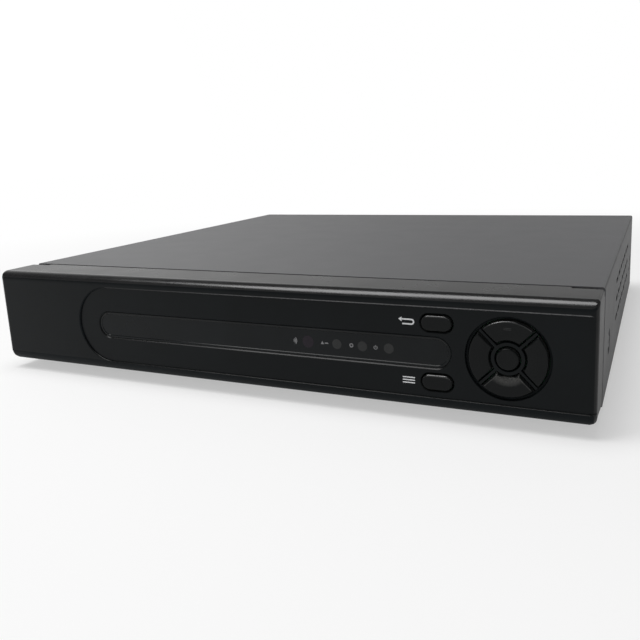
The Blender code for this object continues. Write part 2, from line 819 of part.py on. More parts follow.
def bezel_screw_cutter():
    """Pilot bores in the two chassis bosses."""
    start = RECESS_Y - TRAY_FRONT + FIT_GAP
    bars = []
    for side in (1, -1):
        x = side * BOSS_X
        mouth = (x, FRONT_CENTRE, start - OVERCUT)
        end = (x, FRONT_CENTRE, start + SCREW_LENGTH + FIT_GAP)
        bars.append((mouth, end, SCREW_RADIUS + SCREW_HOLE_GAP))
    return add_cutter("bezel_pilots", cylinders_mesh("bezel_pilots", bars, SMALL_ROUND_STEPS), FRONT_FACE)


def front_bezel():
    block = bezel_block()
    bezel = add_part("front_bezel", block.copy(), BLACK_PLASTIC)
    inner_half = BEZEL_HALF - BEZEL_WALL
    inner_low = BASE_Z + BEZEL_RISE + BEZEL_WALL
    hollow = boxes_mesh(
        "bezel_hollow",
        (
            (-inner_half, FRONT_Y + FRONT_WALL, inner_low),
            (inner_half, BEZEL_REAR + OVERCUT, TOP_Z - BEZEL_WALL),
        ),
    )
    cut(bezel, add_cutter("bezel_hollow", hollow))

    tongue_top = TOP_Z - COVER_SHEET - FIT_GAP
    tongue_half = HALF_WIDTH - NOTCH_WIDTH
    tongue = boxes_mesh(
        "bezel_tongue",
        (
            (-tongue_half, BEZEL_REAR - NOTCH_DEPTH, tongue_top - TONGUE_THICKNESS),
            (tongue_half, SEAM_Y + TONGUE_LENGTH, tongue_top),
        ),
    )
    join(bezel, add_cutter("bezel_tongue", tongue), *bezel_bosses())

    notch_low = TOP_Z - NOTCH_DROP
    notch_front = BEZEL_REAR - NOTCH_DEPTH
    corners = []
    for low, high in ((-HALF_WIDTH - OVERCUT, -tongue_half), (tongue_half, HALF_WIDTH + OVERCUT)):
        corners.append(((low, notch_front, notch_low), (high, SEAM_Y + OVERCUT, TOP_Z + OVERCUT)))
    cut(bezel, add_cutter("bezel_notches", boxes_mesh("bezel_notches", *corners)))
    cut(bezel, recess_cutter(block), *window_cutters(), *key_cutters(), bezel_screw_cutter())
    join(bezel, pad_spider())


# Window and light guides

def guide_places():
    """Name, place along the window and radius of each light behind it."""
    return {
        "ir_receiver": (RECEIVER_X, RECEIVER_RADIUS),
        "alarm_light_guide": (ALARM_LIGHT_X, LIGHT_RADIUS),
        "record_light_guide": (RECORD_LIGHT_X, LIGHT_RADIUS),
        "power_light_guide": (POWER_LIGHT_X, LIGHT_RADIUS),
    }


def window_and_guides():
    radius = WINDOW_HEIGHT / 2
    straight = WINDOW_RIGHT - WINDOW_LEFT - WINDOW_HEIGHT
    back = -WINDOW_POCKET + FIT_GAP
    levels = [(back, radius), *rounded_top(back + WINDOW_THICKNESS, radius, EDGE_ROUND)]
    middle = ((WINDOW_LEFT + WINDOW_RIGHT) / 2, FRONT_CENTRE, 0)
    mesh = slot_mesh("indicator_window", straight, levels, 2 * END_STEPS)
    add_part("indicator_window", mesh, SMOKED_PLASTIC, FRONT_FACE, middle)

    for name, (x, radius) in guide_places().items():
        rim = radius + GUIDE_RIM
        end = -KEYPAD_DEPTH + FIT_GAP
        profile = [(0, -WINDOW_POCKET), (radius, -WINDOW_POCKET), (radius, RIM_FRONT), (rim, RIM_FRONT)]
        profile += [(rim, RIM_BACK), (radius, RIM_BACK), (radius, end), (0, end)]
        mesh = turned_mesh(name, profile, SMALL_ROUND_STEPS)
        material = RECEIVER_PLASTIC if name == "ir_receiver" else GUIDE_PLASTIC
        add_part(name, mesh, material, FRONT_FACE, (x, FRONT_CENTRE, 0))


# Keys

def slot_keys():
    """The two slot keys: a rounded cap, a rim that holds it behind the bezel, and a stem."""
    radius = KEY_HEIGHT / 2
    levels = [
        (STEM_END, STEM_RADIUS),
        (RIM_BACK, STEM_RADIUS),
        (RIM_BACK, radius + KEY_RIM),
        (RIM_FRONT, radius + KEY_RIM),
        (RIM_FRONT, radius),
        *rounded_top(KEY_PROUD, radius, KEY_ROUND),
    ]
    mesh = slot_mesh("slot_key", KEY_LENGTH - KEY_HEIGHT, levels)
    for name, side in (("esc_button", 1), ("menu_button", -1)):
        place = (KEY_X, FRONT_CENTRE + side * KEY_OFFSET, 0)
        add_part(name, mesh, KEY_PLASTIC, FRONT_FACE, place)


def nav_key_mesh():
    """One direction key: an outer flat that dips towards the pad's middle, an outer rim and a stem."""
    profile = [
        (NAV_INNER, KEY_PROUD - DISH_DEPTH),
        (DISH_RADIUS, KEY_PROUD),
        *as_profile(rounded_top(KEY_PROUD, NAV_OUTER, KEY_ROUND)),
        (NAV_OUTER, RIM_FRONT),
        (NAV_OUTER + PAD_RIM, RIM_FRONT),
        (NAV_OUTER + PAD_RIM, RIM_BACK),
        (NAV_INNER, RIM_BACK),
    ]
    quarter = add_cutter("nav_quarter", sector_mesh("nav_quarter", profile, WEB_WIDTH / 2 + NAV_GAP))
    bar = ((0, NAV_SWITCH, STEM_END), (0, NAV_SWITCH, RIM_FRONT), STEM_RADIUS)
    stem = add_cutter("nav_stem", cylinders_mesh("nav_stem", [bar], SMALL_ROUND_STEPS))
    join(quarter, stem)
    return baked(quarter, stem)


NAV_TURNS = {"nav_up_button": 0, "nav_left_button": 1, "nav_down_button": 2, "nav_right_button": 3}


def pad_keys():
    pad = (PAD_X, FRONT_CENTRE, 0)
    mesh = nav_key_mesh()
    for name, quarters in NAV_TURNS.items():
        add_part(name, mesh, KEY_PLASTIC, FRONT_FACE, pad, (0, 0, quarters * math.pi / 2))

    rim = RING_INNER + GUIDE_RIM
    profile = [(0, KEY_PROUD), *as_profile(rounded_top(KEY_PROUD, OK_RADIUS, KEY_ROUND))]
    profile += [(OK_RADIUS, RIM_FRONT), (rim, RIM_FRONT), (rim, RIM_BACK), (STEM_RADIUS, RIM_BACK)]
    profile += [(STEM_RADIUS, STEM_END), (0, STEM_END)]
    add_part("ok_button", turned_mesh("ok_button", profile), KEY_PLASTIC, FRONT_FACE, pad)


# Keypad board

def switch_places():
    """Place of the push switch behind each key."""
    places = {
        "esc_switch": (KEY_X, FRONT_CENTRE + KEY_OFFSET),
        "menu_switch": (KEY_X, FRONT_CENTRE - KEY_OFFSET),
        "ok_switch": (PAD_X, FRONT_CENTRE),
    }
    for name, quarters in NAV_TURNS.items():
        angle = math.pi / 2 * (quarters + 1)
        x = PAD_X + NAV_SWITCH * math.cos(angle)
        y = FRONT_CENTRE + NAV_SWITCH * math.sin(angle)
        places[name.replace("button", "switch")] = (x, y)
    return places


def keypad():
    back = -KEYPAD_DEPTH - BOARD_THICKNESS
    low = (KEYPAD_LEFT, KEYPAD_LOW, back)
    high = (KEYPAD_RIGHT, KEYPAD_HIGH, -KEYPAD_DEPTH)
    board = add_part("keypad_board", boxes_mesh("keypad_board", (low, high)), CIRCUIT_BOARD, FRONT_FACE)
    bars = []
    for x, y in stake_places():
        bars.append(((x, y, back - OVERCUT), (x, y, OVERCUT - KEYPAD_DEPTH), STAKE_RADIUS + SCREW_HOLE_GAP))
    holes = cylinders_mesh("stake_holes", bars, SMALL_ROUND_STEPS)
    cut(board, add_cutter("stake_holes", holes, FRONT_FACE))
    plug = boxes_mesh(
        "keypad_plug",
        (
            (KEYPAD_PLUG_X - PLUG_WIDTH / 2, FRONT_CENTRE - PLUG_HEIGHT / 2, back - PLUG_DEPTH),
            (KEYPAD_PLUG_X + PLUG_WIDTH / 2, FRONT_CENTRE + PLUG_HEIGHT / 2, back + BOARD_THICKNESS / 2),
        ),
    )
    join(board, add_cutter("keypad_plug", plug, FRONT_FACE))

    half = SWITCH_SIDE / 2
    can = boxes_mesh("switch", ((-half, -half, 0), (half, half, SWITCH_BODY)))
    body = add_cutter("switch", can)
    bar = ((0, 0, SWITCH_BODY / 2), (0, 0, SWITCH_HEIGHT), PLUNGER_RADIUS)
    plunger = add_cutter("plunger", cylinders_mesh("plunger", [bar], SMALL_ROUND_STEPS))
    join(body, plunger)
    mesh = baked(body, plunger)
    for name, (x, y) in switch_places().items():
        add_part(name, mesh, SWITCH_PLASTIC, FRONT_FACE, (x, y, -KEYPAD_DEPTH + FIT_GAP))


# Sheet steel case

def tray_shell():
    """The open tray that is folded up at all four sides."""
    bm = bmesh.new()
    put_box(bm, (-TRAY_HALF, TRAY_FRONT, BASE_Z), (TRAY_HALF, PANEL_Y, TRAY_TOP))
    bm.normal_update()
    top = [face for face in bm.faces if face.normal.z > 0.5]
    bmesh.ops.delete(bm, geom=top, context="FACES_ONLY")
    tray = add_part("chassis_base", to_mesh(bm, "chassis_base", outward=False), PAINTED_STEEL)
    modifier = tray.modifiers.new("sheet", "SOLIDIFY")
    modifier.thickness = BASE_SHEET
    modifier.offset = -1.0
    modifier.use_even_offset = True
    return tray


def tray_trim():
    """What is cut away from the tray's sides between the ears, and from the top of its front."""
    wide = HALF_WIDTH + OVERCUT
    front_back = TRAY_FRONT + BASE_SHEET + FIT_GAP
    return add_cutter(
        "tray_sides",
        boxes_mesh(
            "tray_sides",
            (
                (-wide, TRAY_FRONT + EAR_LENGTH, BASE_Z + SIDE_FLANGE),
                (wide, PANEL_Y - EAR_LENGTH, TOP_Z + OVERCUT),
            ),
        ),
    ), add_cutter(
        "tray_front",
        boxes_mesh(
            "tray_front",
            (
                (-wide, TRAY_FRONT - OVERCUT, TOP_Z - TRAY_FRONT_DROP),
                (wide, front_back, TOP_Z + OVERCUT),
            ),
        ),
    )


def standoff_places():
    """Corners of the main board where it stands on the tray."""
    right = HALF_WIDTH - SOCKET_MARGIN + BOARD_MARGIN
    left = -SOCKET_ROW_END - BOARD_MARGIN
    xs = (left + STANDOFF_INSET, right - STANDOFF_INSET)
    ys = (BOARD_FRONT + STANDOFF_INSET, BOARD_REAR - LAN_DEPTH - STANDOFF_INSET)
    return [(x, y) for x in xs for y in ys]


def drive_hole_places():
    """The four screw holes under the hard drive."""
    middle = (DRIVE_FRONT + DRIVE_BACK) / 2
    first = DRIVE_LEFT + DRIVE_HOLE_INSET
    xs = (first, first + DRIVE_HOLE_STEP)
    ys = (middle - DRIVE_HOLE_SPACING / 2, middle + DRIVE_HOLE_SPACING / 2)
    return [(x, y) for x in xs for y in ys]


def side_screw_places():
    """Distance from the origin along Y of the cover's side screws."""
    return (SEAM_Y + SIDE_SCREW_FRONT, REAR_Y - SIDE_SCREW_REAR)


def rear_screw_xs():
    spread = HALF_WIDTH - REAR_SCREW_INSET
    return (-spread, 0.0, spread)


def tray_posts():
    """Posts pressed up from the floor for the main board and the hard drive."""
    root = BASE_Z + BASE_SHEET / 2
    bars = []
    for x, y in standoff_places():
        bars.append(((x, y, root), (x, y, FLOOR_Z + STANDOFF), STANDOFF_RADIUS))
    for x, y in drive_hole_places():
        bars.append(((x, y, root), (x, y, FLOOR_Z + DRIVE_BOSS), DRIVE_BOSS_RADIUS))
    return add_cutter("tray_posts", cylinders_mesh("tray_posts", bars, SMALL_ROUND_STEPS))


def tray_screw_holes():
    """Holes for the drive, bezel and cover screws, and for the keypad's cable."""
    hole = SCREW_RADIUS + SCREW_HOLE_GAP
    bars = []
    for x, y in drive_hole_places():
        top = FLOOR_Z + DRIVE_BOSS + OVERCUT
        bars.append(((x, y, BASE_Z - OVERCUT), (x, y, top), DRIVE_SCREW_RADIUS + SCREW_HOLE_GAP))
    for side in (1, -1):
        x = side * BOSS_X
        z = BASE_Z + FRONT_CENTRE
        bars.append(((x, TRAY_FRONT - OVERCUT, z), (x, TRAY_FRONT + OVERCUT, z), hole))
        for y in side_screw_places():
            z = BASE_Z + SIDE_SCREW_HEIGHT
            near = side * (TRAY_HALF - BASE_SHEET - OVERCUT / 2)
            bars.append(((near, y, z), (side * (TRAY_HALF + OVERCUT / 2), y, z), hole))
    for x in rear_screw_xs():
        z = TOP_Z - COVER_LIP / 2
        bars.append(((x, PANEL_Y - OVERCUT, z), (x, PANEL_Y + OVERCUT, z), hole))
    z = BASE_Z + FRONT_CENTRE
    y = TRAY_FRONT
    bars.append(((KEYPAD_PLUG_X, y - OVERCUT, z), (KEYPAD_PLUG_X, y + OVERCUT, z), CABLE_HOLE_RADIUS))
    return add_cutter("tray_holes", cylinders_mesh("tray_holes", bars, SMALL_ROUND_STEPS))


def panel_cutters():
    """Openings in the rear panel for the sockets and the fan."""
    seat = SOCKET_SEAT
    blocks = []
    for name, width, height in (
        ("lan_socket", LAN_WIDTH, LAN_HEIGHT),
        ("usb_socket", USB_WIDTH, USB_HEIGHT),
        ("hdmi_socket", HDMI_WIDTH, HDMI_HEIGHT),
        ("terminal_block", TERMINAL_WIDTH, TERMINAL_HEIGHT),
        ("vga_socket", VGA_SHELL_WIDTH, VGA_SHELL_HEIGHT),
    ):
        x = SOCKET_X[name]
        middle = seat + (VGA_HEIGHT if name == "vga_socket" else height) / 2
        half_width = width / 2 + PANEL_GAP
        half_height = height / 2 + PANEL_GAP
        low = (x - half_width, middle - half_height, -OVERCUT)
        blocks.append((low, (x + half_width, middle + half_height, OVERCUT)))
    square = add_cutter("panel_blocks", boxes_mesh("panel_blocks", *blocks), REAR_FACE)

    rounds = []
    for name in BNC_NAMES:
        rounds.append((SOCKET_X[name], seat + BNC_HEIGHT, BNC_COLLAR_RADIUS))
    for row in (0.5, 1.5):
        rounds.append((SOCKET_X["audio_socket"], seat + row * AUDIO_PITCH, AUDIO_BARREL_RADIUS))
    for side in (1, -1):
        x = SOCKET_X["vga_socket"] + side * VGA_NUT_SPREAD / 2
        rounds.append((x, seat + VGA_HEIGHT / 2, VGA_NUT_RADIUS))
    rounds.append((SOCKET_X["power_inlet"], seat + POWER_HEIGHT / 2, POWER_BORE_RADIUS))
    bars = [((x, y, -OVERCUT), (x, y, OVERCUT), radius + PANEL_GAP) for x, y, radius in rounds]
    round_holes = add_cutter("panel_rounds", cylinders_mesh("panel_rounds", bars), REAR_FACE)

    bm = bmesh.new()
    reach = FAN_BORE_RADIUS - GRILLE_MARGIN
    radius = GRILLE_SLOT_WIDTH / 2
    for i in range(GRILLE_SLOTS):
        offset = (i - (GRILLE_SLOTS - 1) / 2) * GRILLE_PITCH
        straight = 2 * math.sqrt(reach**2 - offset**2) - GRILLE_SLOT_WIDTH
        put_slot(bm, straight, [(-OVERCUT, radius), (OVERCUT, radius)], VENT_END_STEPS, (0, offset))
    grille = add_cutter("fan_grille", to_mesh(bm, "fan_grille"), REAR_FACE, (FAN_X, FAN_Y, 0))
    return square, round_holes, grille


def chassis_base():
    tray = tray_shell()
    join(tray, tray_posts())
    cut(tray, *tray_trim(), tray_screw_holes(), *panel_cutters())


def cover_shell():
    """Top and sides of the cover as one bent sheet, with a lip folded down at the rear."""
    bm = bmesh.new()
    put_box(bm, (-HALF_WIDTH, SEAM_Y, BASE_Z), (HALF_WIDTH, REAR_Y, TOP_Z))
    bm.normal_update()
    open_faces = [face for face in bm.faces if abs(face.normal.y) > 0.5 or face.normal.z < -0.5]
    bmesh.ops.delete(bm, geom=open_faces, context="FACES_ONLY")
    bends = [edge for edge in bm.edges if len(edge.link_faces) == 2]
    bmesh.ops.bevel(
        bm, geom=bends, offset=COVER_BEND, segments=BEZEL_ROUND_STEPS, profile=0.5, affect="EDGES"
    )
    rear = [
        edge
        for edge in bm.edges
        if all(vert.co.y > REAR_Y - TOUCH and vert.co.z > TOP_Z - WELD for vert in edge.verts)
    ]
    lip = bmesh.ops.extrude_edge_only(bm, edges=rear)
    moved = [item for item in lip["geom"] if isinstance(item, bmesh.types.BMVert)]
    bmesh.ops.translate(bm, vec=(0, 0, -COVER_LIP), verts=moved)
    cover = add_part("top_cover", smooth(to_mesh(bm, "top_cover")), PAINTED_STEEL)
    modifier = cover.modifiers.new("sheet", "SOLIDIFY")
    modifier.thickness = COVER_SHEET
    modifier.offset = -1.0
    modifier.use_even_offset = True
    return cover


def vent_cutter():
    """Rows of slots that pass through both sides at once."""
    radius = VENT_HEIGHT / 2
    wide = HALF_WIDTH + OVERCUT
    bm = bmesh.new()
    for row in range(VENT_ROWS):
        for column in range(VENT_COLUMNS):
            along = VENT_START + VENT_LENGTH / 2 + column * (VENT_LENGTH + VENT_WEB)
            up = VENT_FIRST_ROW + row * VENT_ROW_PITCH
            levels = [(-wide, radius), (wide, radius)]
            put_slot(bm, VENT_LENGTH - VENT_HEIGHT, levels, VENT_END_STEPS, (along, up))
    turn = (math.pi / 2, 0, math.pi / 2)
    return add_cutter("vents", to_mesh(bm, "vents"), at=(0, SEAM_Y, BASE_Z), turn=turn)


def dimple_shapes():
    """Sheet pressed in round each side screw: the back of the dimple, its hollow, and the screw holes."""
    hole = SCREW_RADIUS + SCREW_HOLE_GAP
    z = BASE_Z + SIDE_SCREW_HEIGHT
    backs, hollows, holes = [], [], []
    for side in (1, -1):
        face = side * HALF_WIDTH
        root = side * (HALF_WIDTH - COVER_SHEET / 2)
        floor = side * (HALF_WIDTH - DIMPLE_DEPTH)
        back = side * (HALF_WIDTH - DIMPLE_DEPTH - COVER_SHEET)
        for y in side_screw_places():
            wide, narrow = DIMPLE_RADIUS + COVER_SHEET, DIMPLE_FLOOR_RADIUS + COVER_SHEET
            backs.append(((root, y, z), (back, y, z), wide, narrow))
            hollows.append(((face, y, z), (floor, y, z), DIMPLE_RADIUS, DIMPLE_FLOOR_RADIUS))
            out = side * (HALF_WIDTH + OVERCUT)
            holes.append(((out, y, z), (side * (TRAY_HALF - OVERCUT), y, z), hole))
    for x in rear_screw_xs():
        z = TOP_Z - COVER_LIP / 2
        holes.append(((x, PANEL_Y - OVERCUT, z), (x, REAR_Y + OVERCUT, z), hole))
    return (
        add_cutter("dimple_backs", cylinders_mesh("dimple_backs", backs)),
        add_cutter("dimple_hollows", cylinders_mesh("dimple_hollows", hollows)),
        add_cutter("cover_holes", cylinders_mesh("cover_holes", holes, SMALL_ROUND_STEPS)),
    )


def top_cover():
    cover = cover_shell()
    backs, hollows, holes = dimple_shapes()
    join(cover, backs)
    cut(cover, hollows, holes, vent_cutter())


def feet():
    profile = [
        (0, FOOT_HEIGHT - FIT_GAP),
        (FOOT_RADIUS, FOOT_HEIGHT - FIT_GAP),
        (FOOT_RADIUS - FOOT_TAPER, 0),
        (0, 0),
    ]
    mesh = turned_mesh("foot", profile)
    for end, y in (("front", SEAM_Y + FOOT_END_INSET), ("rear", REAR_Y - FOOT_END_INSET)):
        for side, x in (("left", -HALF_WIDTH + FOOT_SIDE_INSET), ("right", HALF_WIDTH - FOOT_SIDE_INSET)):
            add_part(f"{end}_{side}_foot", mesh, RUBBER, at=(x, y, 0))


def case_screws():
    mesh = screw_mesh("case_screw", SCREW_LENGTH)
    z = BASE_Z + SIDE_SCREW_HEIGHT
    for side, sign in (("left", -1), ("right", 1)):
        for end, y in zip(("front", "rear"), side_screw_places()):
            x = sign * (HALF_WIDTH - DIMPLE_DEPTH + FIT_GAP)
            turn = (0, sign * math.pi / 2, 0)
            add_part(f"cover_screw_{side}_{end}", mesh, SCREW_STEEL, at=(x, y, z), turn=turn)
    for name, x in zip(("left", "middle", "right"), rear_screw_xs()):
        place = (x, REAR_Y + FIT_GAP, TOP_Z - COVER_LIP / 2)
        add_part(f"rear_screw_{name}", mesh, SCREW_STEEL, at=place, turn=(-math.pi / 2, 0, 0))
    for side, sign in (("left", -1), ("right", 1)):
        x = sign * BOSS_X
        place = (x, TRAY_FRONT + BASE_SHEET + FIT_GAP, BASE_Z + FRONT_CENTRE)
        add_part(f"bezel_screw_{side}", mesh, SCREW_STEEL, at=place, turn=(-math.pi / 2, 0, 0))


# Main board

def main_board():
    right = HALF_WIDTH - SOCKET_MARGIN + BOARD_MARGIN
    left = -SOCKET_ROW_END - BOARD_MARGIN
    sheet = boxes_mesh("main_board", ((left, BOARD_FRONT, BOARD_Z), (right, BOARD_REAR, BOARD_TOP_Z)))
    board = add_part("main_board", sheet, CIRCUIT_BOARD)
    blocks = []
    for x in (DRIVE_PLUG_X, KEYPAD_PLUG_X):
        low = (x - PLUG_WIDTH / 2, PLUG_FRONT, BOARD_Z + BOARD_THICKNESS / 2)
        blocks.append((low, (x + PLUG_WIDTH / 2, PLUG_FRONT + PLUG_DEPTH, BOARD_TOP_Z + PLUG_HEIGHT)))
    join(board, add_cutter("board_plugs", boxes_mesh("board_plugs", *blocks)))


def heatsink_and_battery():
    half = HEATSINK_SIDE / 2
    x = -SOCKET_X["bnc_socket_1"]
    y = BOARD_REAR - HEATSINK_FROM_REAR
    z = BOARD_TOP_Z + FIT_GAP
    block = boxes_mesh("processor_heatsink", ((-half, -half, 0), (half, half, HEATSINK_HEIGHT)))
    sink = add_part("processor_heatsink", block, ALUMINIUM, at=(x, y, z))
    fin = (HEATSINK_SIDE - (HEATSINK_FINS - 1) * HEATSINK_SLOT) / HEATSINK_FINS
    pitch = fin + HEATSINK_SLOT
    slots = []
    for i in range(HEATSINK_FINS - 1):
        middle = (i - (HEATSINK_FINS - 2) / 2) * pitch
        low = (middle - HEATSINK_SLOT / 2, -HEATSINK_SIDE, HEATSINK_BASE)
        slots.append((low, (middle + HEATSINK_SLOT / 2, HEATSINK_SIDE, HEATSINK_HEIGHT + OVERCUT)))
    cut(sink, add_cutter("heatsink_slots", boxes_mesh("heatsink_slots", *slots), at=(x, y, z)))

    profile = [(0, BATTERY_HEIGHT), *as_profile(rounded_top(BATTERY_HEIGHT, BATTERY_RADIUS, EDGE_ROUND))]
    profile += [(BATTERY_RADIUS, 0), (0, 0)]
    place = (x + BATTERY_FROM_HEATSINK, y, z)
    add_part("clock_battery", turned_mesh("clock_battery", profile), NICKEL, at=place)


# Rear sockets

def bnc_mesh():
    """A bayonet video socket: block behind the panel, collar, barrel with two lugs, and centre contact."""
    half = BNC_BODY / 2
    reach = REAR_Y - PANEL_Y + SOCKET_REACH
    block = boxes_mesh(
        "bnc_socket",
        ((-half, -BNC_HEIGHT, BEHIND_PANEL - BNC_BODY_DEPTH), (half, BNC_BODY - BNC_HEIGHT, BEHIND_PANEL)),
    )
    body = add_cutter("bnc_socket", block)
    profile = [
        (0, reach - BNC_LUG_INSET),
        (BNC_PIN_RADIUS, reach - BNC_LUG_INSET),
        (BNC_PIN_RADIUS, 0),
        (BNC_BORE_RADIUS, 0),
        (BNC_BORE_RADIUS, reach),
        (BNC_BARREL_RADIUS, reach),
        (BNC_BARREL_RADIUS, BNC_COLLAR),
        (BNC_COLLAR_RADIUS, BNC_COLLAR),
        (BNC_COLLAR_RADIUS, BEHIND_PANEL - BNC_COLLAR),
        (0, BEHIND_PANEL - BNC_COLLAR),
    ]
    barrel = add_cutter("bnc_barrel", turned_mesh("bnc_barrel", profile))
    z = reach - BNC_LUG_INSET
    root = (BNC_BORE_RADIUS + BNC_BARREL_RADIUS) / 2
    tip = BNC_BARREL_RADIUS + BNC_LUG_PROUD
    bars = [((0, side * root, z), (0, side * tip, z), BNC_LUG_RADIUS) for side in (1, -1)]
    lugs = add_cutter("bnc_lugs", cylinders_mesh("bnc_lugs", bars, HEX_SIDES))
    join(body, barrel, lugs)
    return baked(body, barrel, lugs)



def bnc_sockets():
    mesh = bnc_mesh()
    for name in BNC_NAMES:
        add_part(name, mesh, NICKEL, REAR_FACE, (SOCKET_X[name], SOCKET_SEAT + BNC_HEIGHT, 0))


def audio_socket():
    """Two phono sockets, one over the other, on one block."""
    half = AUDIO_WIDTH / 2
    block = boxes_mesh(
        "audio_socket",
        ((-half, 0, BEHIND_PANEL - AUDIO_BODY_DEPTH), (half, AUDIO_HEIGHT, BEHIND_PANEL)),
    )
    place = (SOCKET_X["audio_socket"], SOCKET_SEAT, 0)
    body = add_part("audio_socket", block, SOCKET_PLASTIC, REAR_FACE, place)
    profile = [
        (AUDIO_BORE_RADIUS, AUDIO_REACH),
        (AUDIO_BARREL_RADIUS, AUDIO_REACH),
        (AUDIO_BARREL_RADIUS, BEHIND_PANEL - BASE_SHEET),
        (AUDIO_BORE_RADIUS, BEHIND_PANEL - BASE_SHEET),
    ]
    barrel = turned_mesh("audio_barrel", profile, SMALL_ROUND_STEPS, closed=True)
    for row in (0.5, 1.5):
        y = SOCKET_SEAT + row * AUDIO_PITCH
        join(body, add_cutter("audio_barrel", barrel, REAR_FACE, (SOCKET_X["audio_socket"], y, 0)))


def vga_socket():
    """A D-shaped shell and two hex posts on a flanged block."""
    half = VGA_WIDTH / 2
    block = boxes_mesh(
        "vga_socket", ((-half, 0, BEHIND_PANEL - VGA_BODY_DEPTH), (half, VGA_HEIGHT, BEHIND_PANEL))
    )
    place = (SOCKET_X["vga_socket"], SOCKET_SEAT, 0)
    body = add_part("vga_socket", block, SOCKET_PLASTIC, REAR_FACE, place)

    bm = bmesh.new()
    put_box(
        bm,
        (-VGA_SHELL_WIDTH / 2, (VGA_HEIGHT - VGA_SHELL_HEIGHT) / 2, BEHIND_PANEL - BASE_SHEET),
        (VGA_SHELL_WIDTH / 2, (VGA_HEIGHT + VGA_SHELL_HEIGHT) / 2, VGA_SHELL_REACH),
    )
    for vert in bm.verts:
        if vert.co.y < VGA_HEIGHT / 2:
            vert.co.x -= math.copysign(VGA_SHELL_SLOPE, vert.co.x)
    upright = [edge for edge in bm.edges if abs(edge.verts[0].co.z - edge.verts[1].co.z) > BASE_SHEET]
    bmesh.ops.bevel(
        bm, geom=upright, offset=VGA_SHELL_SLOPE, segments=FILLET_STEPS, profile=0.5, affect="EDGES"
    )
    shell = add_cutter("vga_shell", to_mesh(bm, "vga_shell"), REAR_FACE, place)

    bars = []
    for side in (1, -1):
        x = side * VGA_NUT_SPREAD / 2
        y = VGA_HEIGHT / 2
        bars.append(((x, y, BEHIND_PANEL - BASE_SHEET), (x, y, VGA_NUT_REACH), VGA_NUT_RADIUS))
    nuts = add_cutter("vga_nuts", cylinders_mesh("vga_nuts", bars, HEX_SIDES), REAR_FACE, place)
    join(body, shell, nuts)


def shell_socket(name, width, height, depth, material, ports):
    """A box-shaped socket through the panel. A port has two corners, a depth and a tongue or None."""
    place = (SOCKET_X[name], SOCKET_SEAT, 0)
    block = boxes_mesh(name, ((-width / 2, 0, SOCKET_PROUD - depth), (width / 2, height, SOCKET_PROUD)))
    body = add_part(name, block, material, REAR_FACE, place)
    hollows, tongues = [], []
    for (left, low), (right, high), port_depth, tongue in ports:
        floor = SOCKET_PROUD - port_depth
        hollows.append(((left, low, floor), (right, high, SOCKET_PROUD + OVERCUT)))
        if tongue is not None:
            inset = (right - left) / 6
            near = (left + inset, tongue - TONGUE_PLATE / 2, floor - SHELL_WALL)
            tongues.append((near, (right - inset, tongue + TONGUE_PLATE / 2, SOCKET_PROUD - SHELL_WALL)))
    cut(body, add_cutter(name + "_ports", boxes_mesh(name + "_ports", *hollows), REAR_FACE, place))
    if tongues:
        join(body, add_cutter(name + "_tongues", boxes_mesh(name + "_tongues", *tongues), REAR_FACE, place))


def box_sockets():
    inner = HDMI_WIDTH / 2 - SHELL_WALL
    port = ((-inner, SHELL_WALL), (inner, HDMI_HEIGHT - SHELL_WALL), PORT_DEPTH, HDMI_HEIGHT / 2)
    shell_socket("hdmi_socket", HDMI_WIDTH, HDMI_HEIGHT, HDMI_DEPTH, NICKEL, [port])

    inner = USB_WIDTH / 2 - SHELL_WALL
    ports = []
    for row in (0.25, 0.75):
        low = row * USB_HEIGHT - USB_PORT_HEIGHT / 2
        high = row * USB_HEIGHT + USB_PORT_HEIGHT / 2
        ports.append(((-inner, low), (inner, high), PORT_DEPTH, row * USB_HEIGHT))
    shell_socket("usb_socket", USB_WIDTH, USB_HEIGHT, USB_DEPTH, NICKEL, ports)

    inner = LAN_PORT_WIDTH / 2
    low = (LAN_HEIGHT - LAN_PORT_HEIGHT) / 2
    port = ((-inner, low), (inner, low + LAN_PORT_HEIGHT), LAN_PORT_DEPTH, None)
    shell_socket("lan_socket", LAN_WIDTH, LAN_HEIGHT, LAN_DEPTH, NICKEL, [port])

    half = TERMINAL_HOLE / 2
    ports = []
    for way in range(TERMINAL_WAYS):
        x = (way - (TERMINAL_WAYS - 1) / 2) * TERMINAL_PITCH
        low = (x - half, TERMINAL_HEIGHT / 2 - half)
        ports.append((low, (x + half, TERMINAL_HEIGHT / 2 + half), TERMINAL_HOLE_DEPTH, None))
    shell_socket("terminal_block", TERMINAL_WIDTH, TERMINAL_HEIGHT, TERMINAL_DEPTH, SOCKET_PLASTIC, ports)


def power_inlet():
    """A barrel-plug inlet behind a round hole, with its centre pin."""
    half = POWER_WIDTH / 2
    place = (SOCKET_X["power_inlet"], SOCKET_SEAT, 0)
    block = boxes_mesh(
        "power_inlet", ((-half, 0, BEHIND_PANEL - POWER_DEPTH), (half, POWER_HEIGHT, BEHIND_PANEL))
    )
    body = add_part("power_inlet", block, SOCKET_PLASTIC, REAR_FACE, place)
    y = POWER_HEIGHT / 2
    floor = BEHIND_PANEL - PORT_DEPTH
    profile = [
        (POWER_PIN_RADIUS, OVERCUT),
        (POWER_BORE_RADIUS, OVERCUT),
        (POWER_BORE_RADIUS, floor),
        (POWER_PIN_RADIUS, floor),
    ]
    ring = turned_mesh("power_bore", profile, SMALL_ROUND_STEPS, closed=True)
    cut(body, add_cutter("power_bore", ring, REAR_FACE, (place[0], SOCKET_SEAT + y, 0)))


# Hard drive

